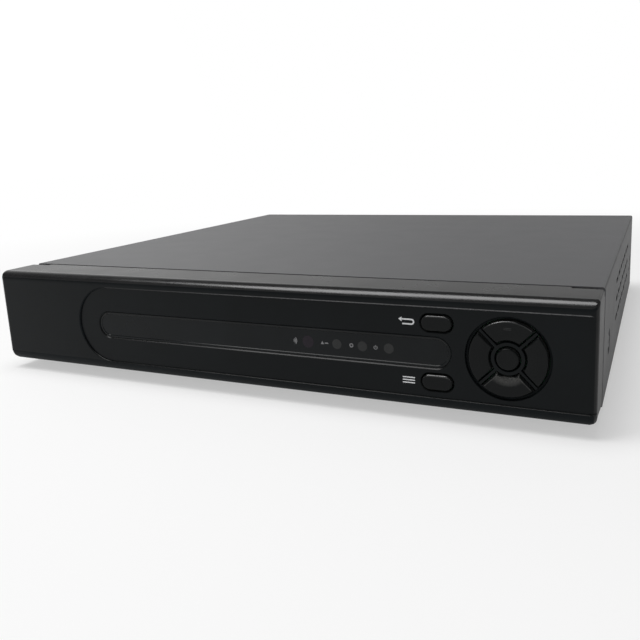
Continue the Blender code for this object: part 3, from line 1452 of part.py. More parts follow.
def hard_drive():
    size = (DRIVE_LENGTH, DRIVE_WIDTH, DRIVE_HEIGHT)
    place = (DRIVE_LEFT, DRIVE_FRONT, DRIVE_Z)
    drive = add_part("hard_drive", boxes_mesh("hard_drive", ((0, 0, 0), size)), ALUMINIUM, at=place)
    add_bevel(drive, DRIVE_EDGE)
    depth = DRIVE_SCREW_BITE + FIT_GAP
    bars = []
    for x, y in drive_hole_places():
        radius = DRIVE_SCREW_RADIUS + SCREW_HOLE_GAP
        bars.append(((x, y, DRIVE_Z - OVERCUT), (x, y, DRIVE_Z + depth), radius))
    cut(drive, add_cutter("drive_holes", cylinders_mesh("drive_holes", bars, SMALL_ROUND_STEPS)))

    length = FIT_GAP + BASE_SHEET + DRIVE_BOSS + FIT_GAP + DRIVE_SCREW_BITE
    mesh = screw_mesh("drive_screw", length, DRIVE_SCREW_RADIUS)
    for number, (x, y) in enumerate(drive_hole_places(), 1):
        place = (x, y, BASE_Z - FIT_GAP)
        add_part(f"drive_screw_{number}", mesh, SCREW_STEEL, at=place, turn=(math.pi, 0, 0))


def cables():
    """The drive's cable to the main board, and the keypad's cable through the tray's front."""
    plug_z = BOARD_TOP_Z + PLUG_HEIGHT / 2
    plug_y = PLUG_FRONT - FIT_GAP
    middle = (DRIVE_FRONT + DRIVE_BACK) / 2
    start = Vector((DRIVE_END + FIT_GAP, middle, DRIVE_CABLE_Z))
    end = Vector((DRIVE_PLUG_X, plug_y, plug_z))
    corner = Vector((DRIVE_PLUG_X, middle, DRIVE_CABLE_Z))
    mesh = cable_mesh("drive_cable", start, corner, corner, end, DRIVE_CABLE_RADIUS)
    add_part("drive_cable", mesh, SOCKET_PLASTIC)

    start = Vector((KEYPAD_PLUG_X, KEYPAD_BACK_Y + PLUG_DEPTH + FIT_GAP, BASE_Z + FRONT_CENTRE))
    end = Vector((KEYPAD_PLUG_X, plug_y, plug_z))
    third = (end.y - start.y) / 3
    lead = start + Vector((0, third, 0))
    approach = end - Vector((0, third, 0))
    mesh = cable_mesh("keypad_cable", start, lead, approach, end, KEYPAD_CABLE_RADIUS)
    add_part("keypad_cable", mesh, SOCKET_PLASTIC)


# Fan

def fan_frame():
    """Square frame behind the grille, with a bearing disc on four arms at its inner end."""
    place = (FAN_X, FAN_Y, 0)
    half = FAN_SIZE / 2
    back = BEHIND_PANEL - FAN_DEPTH
    block = boxes_mesh("fan_frame", ((-half, -half, back), (half, half, BEHIND_PANEL)))
    frame = add_part("fan_frame", block, SOCKET_PLASTIC, REAR_FACE, place)
    bore = ((0, 0, back - OVERCUT), (0, 0, OVERCUT), FAN_BORE_RADIUS)
    cut(frame, add_cutter("fan_bore", cylinders_mesh("fan_bore", [bore], FAN_STEPS), REAR_FACE, place))

    reach = FAN_BORE_RADIUS + FAN_TIP_GAP / 2
    width = FAN_ARM_WIDTH / 2
    for across in ((reach, width), (width, reach)):
        low = (-across[0], -across[1], back + FIT_GAP)
        arm = boxes_mesh("fan_arm", (low, (*across, back + FAN_HUB_DISC)))
        join(frame, add_cutter("fan_arm", arm, REAR_FACE, place))
    top = back + FAN_HUB_DISC + FIT_GAP
    disc = cylinders_mesh("fan_disc", [((0, 0, back), (0, 0, top), FAN_HUB_RADIUS)])
    join(frame, add_cutter("fan_disc", disc, REAR_FACE, place))
    end = (0, 0, top - FAN_BEARING_DEPTH)
    bearing = (end, (0, 0, top + OVERCUT), FAN_SHAFT_RADIUS + FAN_BEARING_GAP)
    hole = cylinders_mesh("fan_bearing", [bearing], SMALL_ROUND_STEPS)
    cut(frame, add_cutter("fan_bearing", hole, REAR_FACE, place))


def fan_rotor():
    """Hub with a shaft in the frame's bearing, and tilted blades."""
    seat = BEHIND_PANEL - FAN_DEPTH + FAN_HUB_DISC + FIT_GAP
    low = seat + FIT_GAP
    high = BEHIND_PANEL - FAN_TIP_GAP
    shaft_end = seat - FAN_BEARING_DEPTH + FIT_GAP
    profile = [(0, high), *as_profile(rounded_top(high, FAN_HUB_RADIUS, EDGE_ROUND))]
    profile += [(FAN_HUB_RADIUS, low), (FAN_SHAFT_RADIUS, low)]
    profile += [(FAN_SHAFT_RADIUS, shaft_end), (0, shaft_end)]
    hub = turned_mesh("fan_rotor", profile)
    rotor = add_part("fan_rotor", hub, SOCKET_PLASTIC, REAR_FACE, (FAN_X, FAN_Y, 0))

    tip = math.sqrt((FAN_BORE_RADIUS - FAN_TIP_GAP) ** 2 - ((high - low) / 2) ** 2)
    tilt = math.radians(FAN_BLADE_TILT)
    chord = (high - low - FAN_BLADE_THICKNESS) / math.sin(tilt) - FAN_BLADE_THICKNESS
    bm = bmesh.new()
    for blade in range(FAN_BLADES):
        before = set(bm.verts)
        near = (FAN_HUB_RADIUS - FAN_TIP_GAP, -chord / 2, -FAN_BLADE_THICKNESS / 2)
        put_box(bm, near, (tip, chord / 2, FAN_BLADE_THICKNESS / 2))
        made = [vert for vert in bm.verts if vert not in before]
        place = Matrix.Rotation(2 * math.pi * blade / FAN_BLADES, 4, "Z")
        place = place @ Matrix.Translation((0, 0, (low + high) / 2)) @ Matrix.Rotation(tilt, 4, "X")
        bmesh.ops.transform(bm, matrix=place, verts=made)
    join(rotor, add_cutter("fan_blades", to_mesh(bm, "fan_blades"), REAR_FACE, (FAN_X, FAN_Y, 0)))


front_bezel()
window_and_guides()
slot_keys()
pad_keys()
keypad()
chassis_base()
top_cover()
feet()
case_screws()
main_board()
heatsink_and_battery()
bnc_sockets()
audio_socket()
vga_socket()
box_sockets()
power_inlet()
hard_drive()
cables()
fan_frame()
fan_rotor()
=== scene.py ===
# %% [markdown]
# # A desktop video recorder
#
# The recorder is a flat black box: a folded steel case with a moulded plastic front. The frame file
# holds every piece at its real size and place. This lesson dresses that frame: it remakes the pieces
# that are seen with fine, rounded edges, gives each one a finish built from nodes, and sets up a plain
# studio around it. All sizes are in metres, the front faces -Y and +Z is up.

# %% Load the frame
import math

import bmesh
import bpy
from mathutils import Matrix, Vector


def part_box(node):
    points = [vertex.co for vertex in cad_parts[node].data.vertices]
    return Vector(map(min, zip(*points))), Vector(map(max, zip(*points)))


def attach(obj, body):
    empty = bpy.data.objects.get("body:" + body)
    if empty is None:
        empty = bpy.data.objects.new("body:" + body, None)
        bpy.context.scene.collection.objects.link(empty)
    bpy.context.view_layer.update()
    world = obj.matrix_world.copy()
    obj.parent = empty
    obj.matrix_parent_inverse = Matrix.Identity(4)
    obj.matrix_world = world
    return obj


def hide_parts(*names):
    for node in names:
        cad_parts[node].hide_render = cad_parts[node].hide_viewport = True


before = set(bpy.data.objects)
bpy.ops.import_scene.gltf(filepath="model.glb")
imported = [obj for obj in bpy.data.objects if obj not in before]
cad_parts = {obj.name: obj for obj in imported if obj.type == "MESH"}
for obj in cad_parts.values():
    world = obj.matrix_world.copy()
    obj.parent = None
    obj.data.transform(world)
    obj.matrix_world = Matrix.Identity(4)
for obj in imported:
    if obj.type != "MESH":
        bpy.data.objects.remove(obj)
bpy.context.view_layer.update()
scene = bpy.context.scene
scene.view_settings.view_transform = "Standard"

# %% [markdown]
# ## Measuring the frame
#
# A maker who dresses a finished frame measures it first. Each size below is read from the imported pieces,
# so the new surfaces land exactly on the old ones, and only what a box can't tell, such as a radius, is
# written out.

# %% Measure the case, the front and the keys
ROOT = "recorder"


def box_of(node):
    low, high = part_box(node)
    return Vector(low), Vector(high)


def middle_of(node):
    low, high = box_of(node)
    return (low + high) / 2


cover_low, cover_high = box_of("top_cover")
bezel_low, bezel_high = box_of("front_bezel")
window_low, window_high = box_of("indicator_window")
HALF_WIDTH = cover_high.x
SEAM_Y = cover_low.y
REAR_Y = cover_high.y
BASE_Z = cover_low.z
TOP_Z = cover_high.z
FRONT_Y = bezel_low.y
BEZEL_HALF = bezel_high.x
BEZEL_LOW = bezel_low.z
RECESS_DEPTH = 0.0008
RECESS_Y = FRONT_Y + RECESS_DEPTH
FRONT_Z = (window_low.z + window_high.z) / 2
PAD_X = middle_of("ok_button").x
KEY_X = middle_of("esc_button").x
PANEL_Y = box_of("chassis_base")[1].y
print("case:", [round(size, 4) for size in (2 * HALF_WIDTH, REAR_Y - FRONT_Y, TOP_Z)], "m")

# %% [markdown]
# ## The camera
#
# The photograph was taken from the front and a little to the right, slightly above the recorder, with a
# short lens close by: the near end looks much taller than the far end. The camera's place and lens come
# from matching the straight edges of the case. The picture is cropped off the lens's middle, which the
# small shift repeats.

# %% Set up the camera
PHOTO_SIZE = 640
LENS_PIXELS = 688.79
PICTURE_MIDDLE = (351.26, 283.38)
CAMERA_YAW = -0.4257
CAMERA_PITCH = 0.1995
CAMERA_ROLL = -0.0426
CAMERA_PLACE = Vector((0.167734, SEAM_Y - 0.276569, BASE_Z + 0.107230))
SENSOR = 36.0
CLIP_START = 0.01


def stand(name, data):
    """An object in the scene for a mesh, a camera or a lamp."""
    obj = bpy.data.objects.new(name, data)
    scene.collection.objects.link(obj)
    return obj


def camera_turn(yaw, pitch, roll):
    """The turn of a camera that looks along +Y, then turned right, tipped down and rolled."""
    ahead = Vector((math.sin(yaw) * math.cos(pitch), math.cos(yaw) * math.cos(pitch), -math.sin(pitch)))
    level = Vector((math.cos(yaw), -math.sin(yaw), 0))
    upright = level.cross(ahead)
    right = level * math.cos(roll) + upright * math.sin(roll)
    up = upright * math.cos(roll) - level * math.sin(roll)
    return Matrix((right, up, -ahead)).transposed().to_4x4()


lens = bpy.data.cameras.new("photo_camera")
lens.sensor_width = SENSOR
lens.lens = LENS_PIXELS * SENSOR / PHOTO_SIZE
lens.shift_x = (PHOTO_SIZE / 2 - PICTURE_MIDDLE[0]) / PHOTO_SIZE
lens.shift_y = (PICTURE_MIDDLE[1] - PHOTO_SIZE / 2) / PHOTO_SIZE
lens.clip_start = CLIP_START
camera = stand("photo_camera", lens)
camera.matrix_world = Matrix.Translation(CAMERA_PLACE) @ camera_turn(CAMERA_YAW, CAMERA_PITCH, CAMERA_ROLL)
scene.camera = camera
print("lens", round(lens.lens, 2), "mm")

# %% [markdown]
# ## Finishes
#
# Every finish is one Principled shader fed by noise on Object coordinates. A coarse noise mottles the
# colour and the gloss, as handling and moulding do, and a fine one drives a bump at the true size of the
# grain: a few tenths of a millimetre on moulded plastic, a little more on powder coat. Values that are
# the same all over stay on the shader. A few helpers come first, which add a node and feed its inputs in
# one call.


# %% Helpers for nodes
def feed(tree, value, socket):
    """Links a socket to what feeds it, or sets its value."""
    if isinstance(value, bpy.types.NodeSocket):
        tree.links.new(value, socket)
    else:
        socket.default_value = value


def add_node(tree, kind, inputs=None, **settings):
    """A node with its settings, whose inputs are values or the sockets that feed them."""
    made = tree.nodes.new(kind)
    for name, value in settings.items():
        setattr(made, name, value)
    for name, value in (inputs or {}).items():
        feed(tree, value, made.inputs[name])
    return made


def maths(tree, operation, *values):
    """A Math node on numbers or sockets."""
    return add_node(tree, "ShaderNodeMath", dict(enumerate(values)), operation=operation).outputs["Value"]


def map_range(tree, value, start, end, low=0.0, high=1.0, kind="LINEAR"):
    """Carries a value from the range start to end over to the range low to high."""
    inputs = {"Value": value, "From Min": start, "From Max": end, "To Min": low, "To Max": high}
    return add_node(tree, "ShaderNodeMapRange", inputs, interpolation_type=kind).outputs["Result"]


def coordinates(tree, source="Object"):
    return add_node(tree, "ShaderNodeTexCoord").outputs[source]


def noise(tree, place, scale, detail):
    made = add_node(tree, "ShaderNodeTexNoise", {"Vector": place, "Scale": scale, "Detail": detail})
    return made.outputs["Fac"]


def mix_colours(tree, factor, first, second):
    mix = add_node(tree, "ShaderNodeMix", {"Factor": factor, "A": first, "B": second}, data_type="RGBA")
    return mix.outputs["Result"]


def opaque(colour):
    return (*colour, 1.0)


# %% A finish from noise
MOTTLE_SCALE, MOTTLE_DETAIL = 60.0, 3.0
GRAIN_DETAIL = 2.0
NOISE_LOW, NOISE_HIGH = 0.3, 0.7


def new_paint(name):
    made = bpy.data.materials.new(name)
    made.use_nodes = True
    return made, made.node_tree


def set_shader(tree, looks):
    """Feeds the named inputs of a material's Principled shader."""
    shader = tree.nodes["Principled BSDF"]
    for name, value in looks.items():
        feed(tree, value, shader.inputs[name])
    return shader


def spread_noise(tree, factor, low, high):
    """Spreads a noise that lies round one half over the range from low to high."""
    return map_range(tree, factor, NOISE_LOW, NOISE_HIGH, low, high)


def finish(
    name, colour, gloss, grain=2500, depth=0.00001, spread=0.15, metal=0.0, specular=0.5, stretch=(1, 1, 1)
):
    """A finish with a mottled colour, a gloss between two roughnesses and a fine grain."""
    made, tree = new_paint(name)
    place = add_node(tree, "ShaderNodeMapping", {"Vector": coordinates(tree), "Scale": stretch})
    broad = noise(tree, place.outputs["Vector"], MOTTLE_SCALE, MOTTLE_DETAIL)
    fine = noise(tree, place.outputs["Vector"], grain, GRAIN_DETAIL)
    darker = opaque(c * (1 - spread) for c in colour)
    lighter = opaque(c * (1 + spread) for c in colour)
    bump = add_node(tree, "ShaderNodeBump", {"Height": fine, "Strength": 1.0, "Distance": depth})
    set_shader(tree, {
        "Base Color": mix_colours(tree, spread_noise(tree, broad, 0, 1), darker, lighter),
        "Roughness": spread_noise(tree, broad, *gloss),
        "Normal": bump.outputs["Normal"],
        "Metallic": metal,
        "Specular IOR Level": specular,
    })
    return made


# %% The finishes of the case
# How deep the grain of the smoothest surfaces is.
SLICK, CLEAR, PRINTED = 0.000003, 0.000002, 0.000004
COAT = {"grain": 1600, "depth": 0.00002, "spread": 0.06}
KEY_BLACK = (0.0034, 0.0041, 0.0043)
POLISH_BLACK = (0.0040, 0.0042, 0.0045)
SMOKED_BLACK = (0.0048, 0.0060, 0.0067)
DARK_VIOLET = (0.0115, 0.0080, 0.0125)

face_plastic = finish("face_plastic", (0.0024, 0.0036, 0.0042), (0.31, 0.35), specular=0.12)
# groove_plastic and under_plastic are coloured lighter than the front: painted light that lifts the shade in
# the grooves, on the key skirts and under the moulding.
groove_plastic = finish("groove_plastic", (0.024, 0.025, 0.024), (0.55, 0.62), specular=0.06)
under_plastic = finish("under_plastic", (0.0068, 0.0085, 0.0094), (0.45, 0.52), specular=0.05)
strip_plastic = finish("strip_plastic", (0.018, 0.0184, 0.018), (0.27, 0.30), specular=0.09)
# The ends of the bezel and the upper run of the window's rim: a lighter colour, painted light.
end_plastic = finish("end_plastic", (0.018, 0.0184, 0.0186), (0.40, 0.44), specular=0.09)
polished_plastic = finish("polished_plastic", POLISH_BLACK, (0.20, 0.26), depth=SLICK, specular=0.50)
edge_plastic = finish("edge_plastic", POLISH_BLACK, (0.24, 0.30), depth=SLICK, specular=0.19)
rubbed_plastic = finish("rubbed_plastic", POLISH_BLACK, (0.18, 0.24), depth=SLICK, specular=0.95)
key_plastic = finish("key_plastic", KEY_BLACK, (0.28, 0.34), specular=0.125)
window_plastic = finish("window_plastic", SMOKED_BLACK, (0.10, 0.16), depth=CLEAR, specular=0.145)
guide_plastic = finish("guide_plastic", (0.024, 0.025, 0.025), (0.20, 0.26), depth=PRINTED, specular=0.17)
receiver_plastic = finish("receiver_plastic", DARK_VIOLET, (0.12, 0.18), depth=CLEAR, specular=0.17)
powder_coat = finish("powder_coat", (0.074, 0.0745, 0.078), (0.43, 0.46), **COAT)
# The cover's sides: a darker copy of the paint, painted shade, with less gloss.
side_coat = finish("side_coat", (0.040, 0.0405, 0.042), (0.50, 0.54), specular=0.2, **COAT)
tray_coat = finish("tray_coat", (0.040, 0.040, 0.042), (0.44, 0.48), **COAT)
label_ink = finish("label_ink", (0.62, 0.63, 0.64), (0.45, 0.55), depth=PRINTED)
faint_ink = finish("faint_ink", (0.16, 0.16, 0.165), (0.45, 0.55), depth=PRINTED)
black_zinc = finish("black_zinc", (0.03, 0.03, 0.032), (0.30, 0.42), metal=1.0, grain=4000)
foot_rubber = finish("foot_rubber", (0.012, 0.012, 0.012), (0.75, 0.9), grain=1800, depth=0.00003)
print("case finishes:", len(bpy.data.materials))

# %% [markdown]
# Some plastic carries a painted highlight: a lighter colour on the bowl of the direction pad, most where
# it turns up to the light, and on the upper lip of the recess, more and more towards the keys. The share
# of the highlight comes from how far the surface faces up, or from its x in the Object coordinates. A fine
# noise breaks it, and it lightens the plastic.

# %% Painted highlights on plastic
HIGHLIGHT_FROM, HIGHLIGHT_TO = 0.07, 0.20
LIP_HIGHLIGHT_FROM, LIP_HIGHLIGHT_TO = -0.090, 0.060
SPECKLE_SCALE, SPECKLE_DETAIL, SPECKLE_LOW = 1500.0, 3.0, 0.5


def paint_over(made, factor, colour):
    """Mixes a second colour into a finish, by a factor from 0 to 1."""
    tree = made.node_tree
    base = tree.nodes["Principled BSDF"].inputs["Base Color"]
    feed(tree, mix_colours(tree, factor, base.links[0].from_socket, opaque(colour)), base)


def paint_highlight(made, highlight_colour, start, end, source="Normal", axis="Z"):
    """Mixes a painted highlight colour into a finish where the surface turns up, or along an axis of the
    object.
    """
    tree = made.node_tree
    parted = add_node(tree, "ShaderNodeSeparateXYZ", {"Vector": coordinates(tree, source)})
    share = map_range(tree, parted.outputs[axis], start, end, kind="SMOOTHSTEP")
    speckle = noise(tree, coordinates(tree), SPECKLE_SCALE, SPECKLE_DETAIL)
    broken = maths(tree, "MULTIPLY", share, spread_noise(tree, speckle, SPECKLE_LOW, 1.0))
    paint_over(made, broken, highlight_colour)


# The bowl of the lower direction key: a painted highlight, a lighter colour where it turns up.
worn_plastic = finish("worn_plastic", KEY_BLACK, (0.28, 0.34), specular=0.125)
paint_highlight(worn_plastic, (0.058, 0.058, 0.056), HIGHLIGHT_FROM, HIGHLIGHT_TO)
# The upper lip of the recess: a little gloss, and a painted highlight that grows paler towards the keys.
lip_plastic = finish("lip_plastic", POLISH_BLACK, (0.20, 0.26), depth=SLICK, specular=0.20)
paint_highlight(lip_plastic, (0.110, 0.110, 0.112), LIP_HIGHLIGHT_FROM, LIP_HIGHLIGHT_TO, "Object", "X")
print("painted highlight finishes:", worn_plastic.name, lip_plastic.name)

# %% [markdown]
# Behind the case lie plated metals, dyed plastics and two green boards. A board's copper tracks show
# through its lacquer as fine lighter lines, and a brick texture at that small scale gives their rows.

# %% The finishes of the sockets and the inside
PLATED = {"metal": 1.0, "grain": 3000, "depth": 0.000004}
TRACK_SCALE, TRACK_WIDTH = 220.0, 0.02
TRACK_SHADES = {"Color1": (0, 0, 0), "Color2": (0.3, 0.3, 0.3), "Mortar": (1, 1, 1)}

nickel = finish("nickel", (0.62, 0.60, 0.56), (0.18, 0.30), **PLATED)
gold = finish("gold", (0.72, 0.50, 0.18), (0.20, 0.30), **PLATED)
aluminium = finish("aluminium", (0.50, 0.51, 0.52), (0.32, 0.45), metal=1.0, stretch=(1, 12, 1))
socket_plastic = finish("socket_plastic", (0.016, 0.016, 0.017), (0.42, 0.52))
white_plastic = finish("white_plastic", (0.62, 0.61, 0.57), (0.40, 0.50))
blue_plastic = finish("blue_plastic", (0.02, 0.06, 0.28), (0.38, 0.46))
red_plastic = finish("red_plastic", (0.35, 0.015, 0.012), (0.36, 0.45))
green_plastic = finish("green_plastic", (0.02, 0.16, 0.05), (0.36, 0.45))
switch_plastic = finish("switch_plastic", (0.03, 0.03, 0.03), (0.42, 0.52))
lamp_plastic = finish("lamp_plastic", (0.25, 0.42, 0.12), (0.20, 0.28))
cable_skin = finish("cable_skin", (0.02, 0.02, 0.021), (0.45, 0.55))


def circuit_board():
    """Green lacquer over rows of fine copper tracks, which show as a slightly lighter green."""
    made = finish("circuit_board", (0.012, 0.075, 0.03), (0.30, 0.42))
    tree = made.node_tree
    inputs = {"Vector": coordinates(tree), "Scale": TRACK_SCALE, "Mortar Size": TRACK_WIDTH}
    inputs.update({name: opaque(shade) for name, shade in TRACK_SHADES.items()})
    paint_over(made, add_node(tree, "ShaderNodeTexBrick", inputs).outputs["Color"], (0.03, 0.17, 0.07))
    return made


board_green = circuit_board()
print("all finishes:", len(bpy.data.materials))

# %% [markdown]
# ## Tools for solid pieces
#
# Most pieces here are turned, or are slot-shaped, or are cut out of a block. A few small builders cover
# them: a loft through outlines, a turned solid, and a Boolean that is settled into a plain mesh at once.
# Each builder works in a flat local frame, and a matrix puts the finished mesh in its place. Weighted
# normals keep the large flat faces flat while the small rounded edges between them stay smooth.

# %% Outlines and edge rounds
FILLET_STEPS = 6
CUT_ABOVE = 0.004


def quarter(steps=FILLET_STEPS):
    return [math.pi / 2 * i / steps for i in range(steps + 1)]


def rounded_edge(top, radius, fillet):
    """(height, radius) levels that round off the top edge of a piece."""
    return [(top - fillet + fillet * math.sin(a), radius - fillet + fillet * math.cos(a)) for a in quarter()]


def flared_edge(top, radius, fillet):
    """(height, radius) levels of a cutter that leaves a rounded edge round its opening."""
    wide = radius + fillet
    levels = [(top - fillet + fillet * math.sin(a), wide - fillet * math.cos(a)) for a in quarter()]
    return [*levels, (top + CUT_ABOVE, wide)]


def as_profile(levels):
    return [(radius, height) for height, radius in reversed(levels)]


def slot_outline(straight, radius, steps):
    points = []
    for side in (1, -1):
        for i in range(steps + 1):
            angle = math.pi * (i / steps - 0.5)
            x, y = straight / 2 + radius * math.cos(angle), radius * math.sin(angle)
            points.append((side * x, side * y))
    return points


# %% Solids
def bridge(bm, lower, upper):
    """Faces between two closed rings of points."""
    for i, corner in enumerate(lower):
        j = (i + 1) % len(lower)
        bm.faces.new((corner, lower[j], upper[j], upper[i]))


def loft(levels, closed=False):
    """A solid through outlines at heights, or a tube where the last level joins the first."""
    bm = bmesh.new()
    rings = [[bm.verts.new((x, y, height)) for x, y in outline] for height, outline in levels]
    pairs = list(zip(rings, rings[1:]))
    if closed:
        pairs.append((rings[-1], rings[0]))
    else:
        bm.faces.new(reversed(rings[0]))
        bm.faces.new(rings[-1])
    for lower, upper in pairs:
        bridge(bm, lower, upper)
    return bm


def slot_solid(straight, levels, steps=24):
    """A slot-shaped loft through (height, radius) levels."""
    return loft([(height, slot_outline(straight, radius, steps)) for height, radius in levels])


def turned_solid(profile, steps=48, closed=False):
    """A turned solid from (radius, height) points, from the top down its outer side."""
    bm = bmesh.new()
    rings = []
    for radius, height in profile:
        count = steps if radius > 0 else 1
        angles = [2 * math.pi * i / steps for i in range(count)]
        rings.append([bm.verts.new((radius * math.cos(a), radius * math.sin(a), height)) for a in angles])
    pairs = list(zip(rings, rings[1:]))
    if closed:
        pairs.append((rings[-1], rings[0]))
    for upper, lower in pairs:
        for i in range(steps):
            j = (i + 1) % steps
            corners = [ring[k % len(ring)] for ring, k in ((upper, i), (upper, j), (lower, j), (lower, i))]
            bm.faces.new(list(dict.fromkeys(corners)))
    return bm


def square_section(inner, outer, top, low):
    """The plain section of a ring, or of a rod where the inner radius is 0."""
    return [(inner, top), (outer, top), (outer, low), (inner, low)]


def box_solid(*boxes):
    bm = bmesh.new()
    for low, high in boxes:
        made = bmesh.ops.create_cube(bm, size=1.0)["verts"]
        bmesh.ops.scale(bm, vec=Vector(high) - Vector(low), verts=made)
        bmesh.ops.translate(bm, vec=(Vector(high) + Vector(low)) / 2, verts=made)
    return bm


# %% Objects, cuts and normals
SMOOTH_ANGLE = math.radians(32)
BEVEL_ANGLE = math.radians(40)
NORMAL_WEIGHT = 80


def smooth(mesh):
    mesh.shade_smooth()
    mesh.set_sharp_from_angle(angle=SMOOTH_ANGLE)


def make(name, bm, material=None, place=Matrix()):
    """An object whose place is in its mesh."""
    bmesh.ops.recalc_face_normals(bm, faces=bm.faces)
    bmesh.ops.transform(bm, matrix=place, verts=bm.verts)
    mesh = bpy.data.meshes.new(name)
    bm.to_mesh(mesh)
    bm.free()
    smooth(mesh)
    if material:
        mesh.materials.append(material)
    return stand(name, mesh)


def settle(obj, *helpers):
    """Turns an object's modifiers into plain mesh and removes the helpers they used."""
    bpy.context.view_layer.update()
    graph = bpy.context.evaluated_depsgraph_get()
    mesh = bpy.data.meshes.new_from_object(obj.evaluated_get(graph))
    obj.modifiers.clear()
    obj.data = mesh
    mesh.name = obj.name
    for helper in helpers:
        bpy.data.objects.remove(helper)
    return obj


def alter(obj, kind, **settings):
    """Adds one modifier with its settings and settles it into the mesh."""
    modifier = obj.modifiers.new(kind.lower(), kind)
    for name, value in settings.items():
        setattr(modifier, name, value)
    return settle(obj)


def boolean(obj, operation, *others):
    for other in others:
        modifier = obj.modifiers.new(operation.lower(), "BOOLEAN")
        modifier.operation = operation
        modifier.object = other
    return settle(obj, *others)


def flatten_normals(obj):
    smooth(obj.data)
    return alter(obj, "WEIGHTED_NORMAL", keep_sharp=True, weight=NORMAL_WEIGHT)


def bevel(obj, width, segments=2):
    return alter(obj, "BEVEL", width=width, segments=segments, limit_method="ANGLE", angle_limit=BEVEL_ANGLE)


# %% Places and hand-over of pieces
def dress(obj, body, slot, *nodes):
    """Rides a piece on a body and hides the frame's nodes that it stands for. The slot is not used."""
    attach(obj, body)
    if nodes:
        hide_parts(*nodes)
    print(obj.name, len(obj.data.polygons), "faces on", body)
    return obj


def on_front(x, z, out=0.0):
    """Puts x right, y up, z out of the recess floor, at a place on the front."""
    return Matrix(((1, 0, 0, x), (0, 0, -1, RECESS_Y - out), (0, 1, 0, z), (0, 0, 0, 1)))


def on_rear(x, z):
    """Puts x right as seen from behind, y up, z out of the rear panel, at a place on the rear."""
    return Matrix(((-1, 0, 0, x), (0, 0, 1, PANEL_Y), (0, 1, 0, z), (0, 0, 0, 1)))


# %% [markdown]
# ## The front bezel
#
# The bezel is one moulding: a block with a bullnose along the top, a softer round below and rounded
# ends. The round along the lower ends is wide at the front corner and tapers towards the seam. A shallow
# racetrack is pressed into the front and runs out round the right end at the same depth. It is made as a
# moulder would cut the tool: the block gets its rounds from bevel weights, and the racetrack cutter is
# trimmed by the same block set back by the depth of the recess, so that its floor follows the rounds.
# Every opening has a rounded lip, because that lip is what catches the light on black plastic.

# %% The bezel's block
TOP_ROUND = 0.005
BOTTOM_ROUND = 0.0065
END_ROUND = 0.003
SIDE_ROUND = 0.0012
REAR_ROUND = 0.0008
LOWER_END_ROUND = 0.004
SEAM_END_ROUND = 0.0008
TAPER_Y = FRONT_Y + 0.009
ROUND_STEPS = 14
SEAM_GAP = 0.0012
BEZEL_REAR = SEAM_Y - SEAM_GAP
NEAR = 0.0001


def edge_round(point):
    """The round of a block's edge, from a point on it."""
    front = point.y < FRONT_Y + NEAR
    top = point.z > TOP_Z - NEAR
    low = point.z < BEZEL_LOW + NEAR
    side = abs(point.x) > BEZEL_HALF - NEAR
    if front and top:
        return TOP_ROUND
    if front and low:
        return BOTTOM_ROUND
    if front and side:
        return END_ROUND
    if side and top:
        return SIDE_ROUND
    if top:
        return REAR_ROUND
    if side and low:
        return LOWER_END_ROUND if point.y < TAPER_Y else SEAM_END_ROUND
    return 0.0


def edge_middle(edge):
    return (edge.verts[0].co + edge.verts[1].co) / 2


def split_lower_ends(bm):
    """A point on each lower end edge, from which its round tapers towards the seam."""
    low = [edge for edge in bm.edges if edge_middle(edge).z < BEZEL_LOW + NEAR]
    ends = [edge for edge in low if abs(edge_middle(edge).x) > BEZEL_HALF - NEAR]
    split = bmesh.ops.subdivide_edges(bm, edges=ends, cuts=1)
    for item in split["geom_inner"]:
        if isinstance(item, bmesh.types.BMVert):
            item.co.y = TAPER_Y


def bezel_block():
    bm = box_solid(((-BEZEL_HALF, FRONT_Y, BEZEL_LOW), (BEZEL_HALF, BEZEL_REAR, TOP_Z)))
    split_lower_ends(bm)
    weight = bm.edges.layers.float.new("bevel_weight_edge")
    for edge in bm.edges:
        edge[weight] = edge_round(edge_middle(edge)) / BOTTOM_ROUND
    block = make("front_bezel_moulding", bm, face_plastic)
    alter(block, "BEVEL", limit_method="WEIGHT", width=BOTTOM_ROUND, segments=ROUND_STEPS)
    return alter(block, "TRIANGULATE")


bezel = bezel_block()
print("bezel block:", len(bezel.data.polygons), "faces")

# %% Hollow, tongue and seam notches
BEZEL_WALL = 0.0022
FRONT_WALL = 0.004
WALL_BACK = RECESS_DEPTH - FRONT_WALL
TONGUE_TOP = TOP_Z - 0.0011
TONGUE_LOW = TONGUE_TOP - 0.0015
TONGUE_REAR = SEAM_Y + 0.005
TONGUE_HALF = HALF_WIDTH - 0.0124
NOTCH_FRONT = BEZEL_REAR - 0.003
NOTCH_FLOOR = TOP_Z - 0.003
PAST = 0.005

set_back = stand("set_back_block", bezel.data.copy())
set_back.data.transform(Matrix.Translation((0, RECESS_DEPTH, 0)))

inner = BEZEL_HALF - BEZEL_WALL
hollow = box_solid(
    ((-inner, FRONT_Y + FRONT_WALL, BEZEL_LOW + BEZEL_WALL), (inner, BEZEL_REAR + PAST, TOP_Z - BEZEL_WALL))
)
tongue = box_solid(((-TONGUE_HALF, NOTCH_FRONT, TONGUE_LOW), (TONGUE_HALF, TONGUE_REAR, TONGUE_TOP)))
notch_ends = ((-HALF_WIDTH - PAST, -TONGUE_HALF), (TONGUE_HALF, HALF_WIDTH + PAST))
notches = box_solid(
    *(((low, NOTCH_FRONT, NOTCH_FLOOR), (high, SEAM_Y + PAST, TOP_Z + PAST)) for low, high in notch_ends)
)
boolean(bezel, "DIFFERENCE", make("hollow", hollow))
boolean(bezel, "UNION", make("tongue", tongue))
boolean(bezel, "DIFFERENCE", make("notches", notches))
print("hollow bezel:", len(bezel.data.polygons), "faces")

# %% The racetrack recess
RECESS_RADIUS = 0.01855
RECESS_LEFT = -HALF_WIDTH + 0.0535
RECESS_LIP = 0.0006

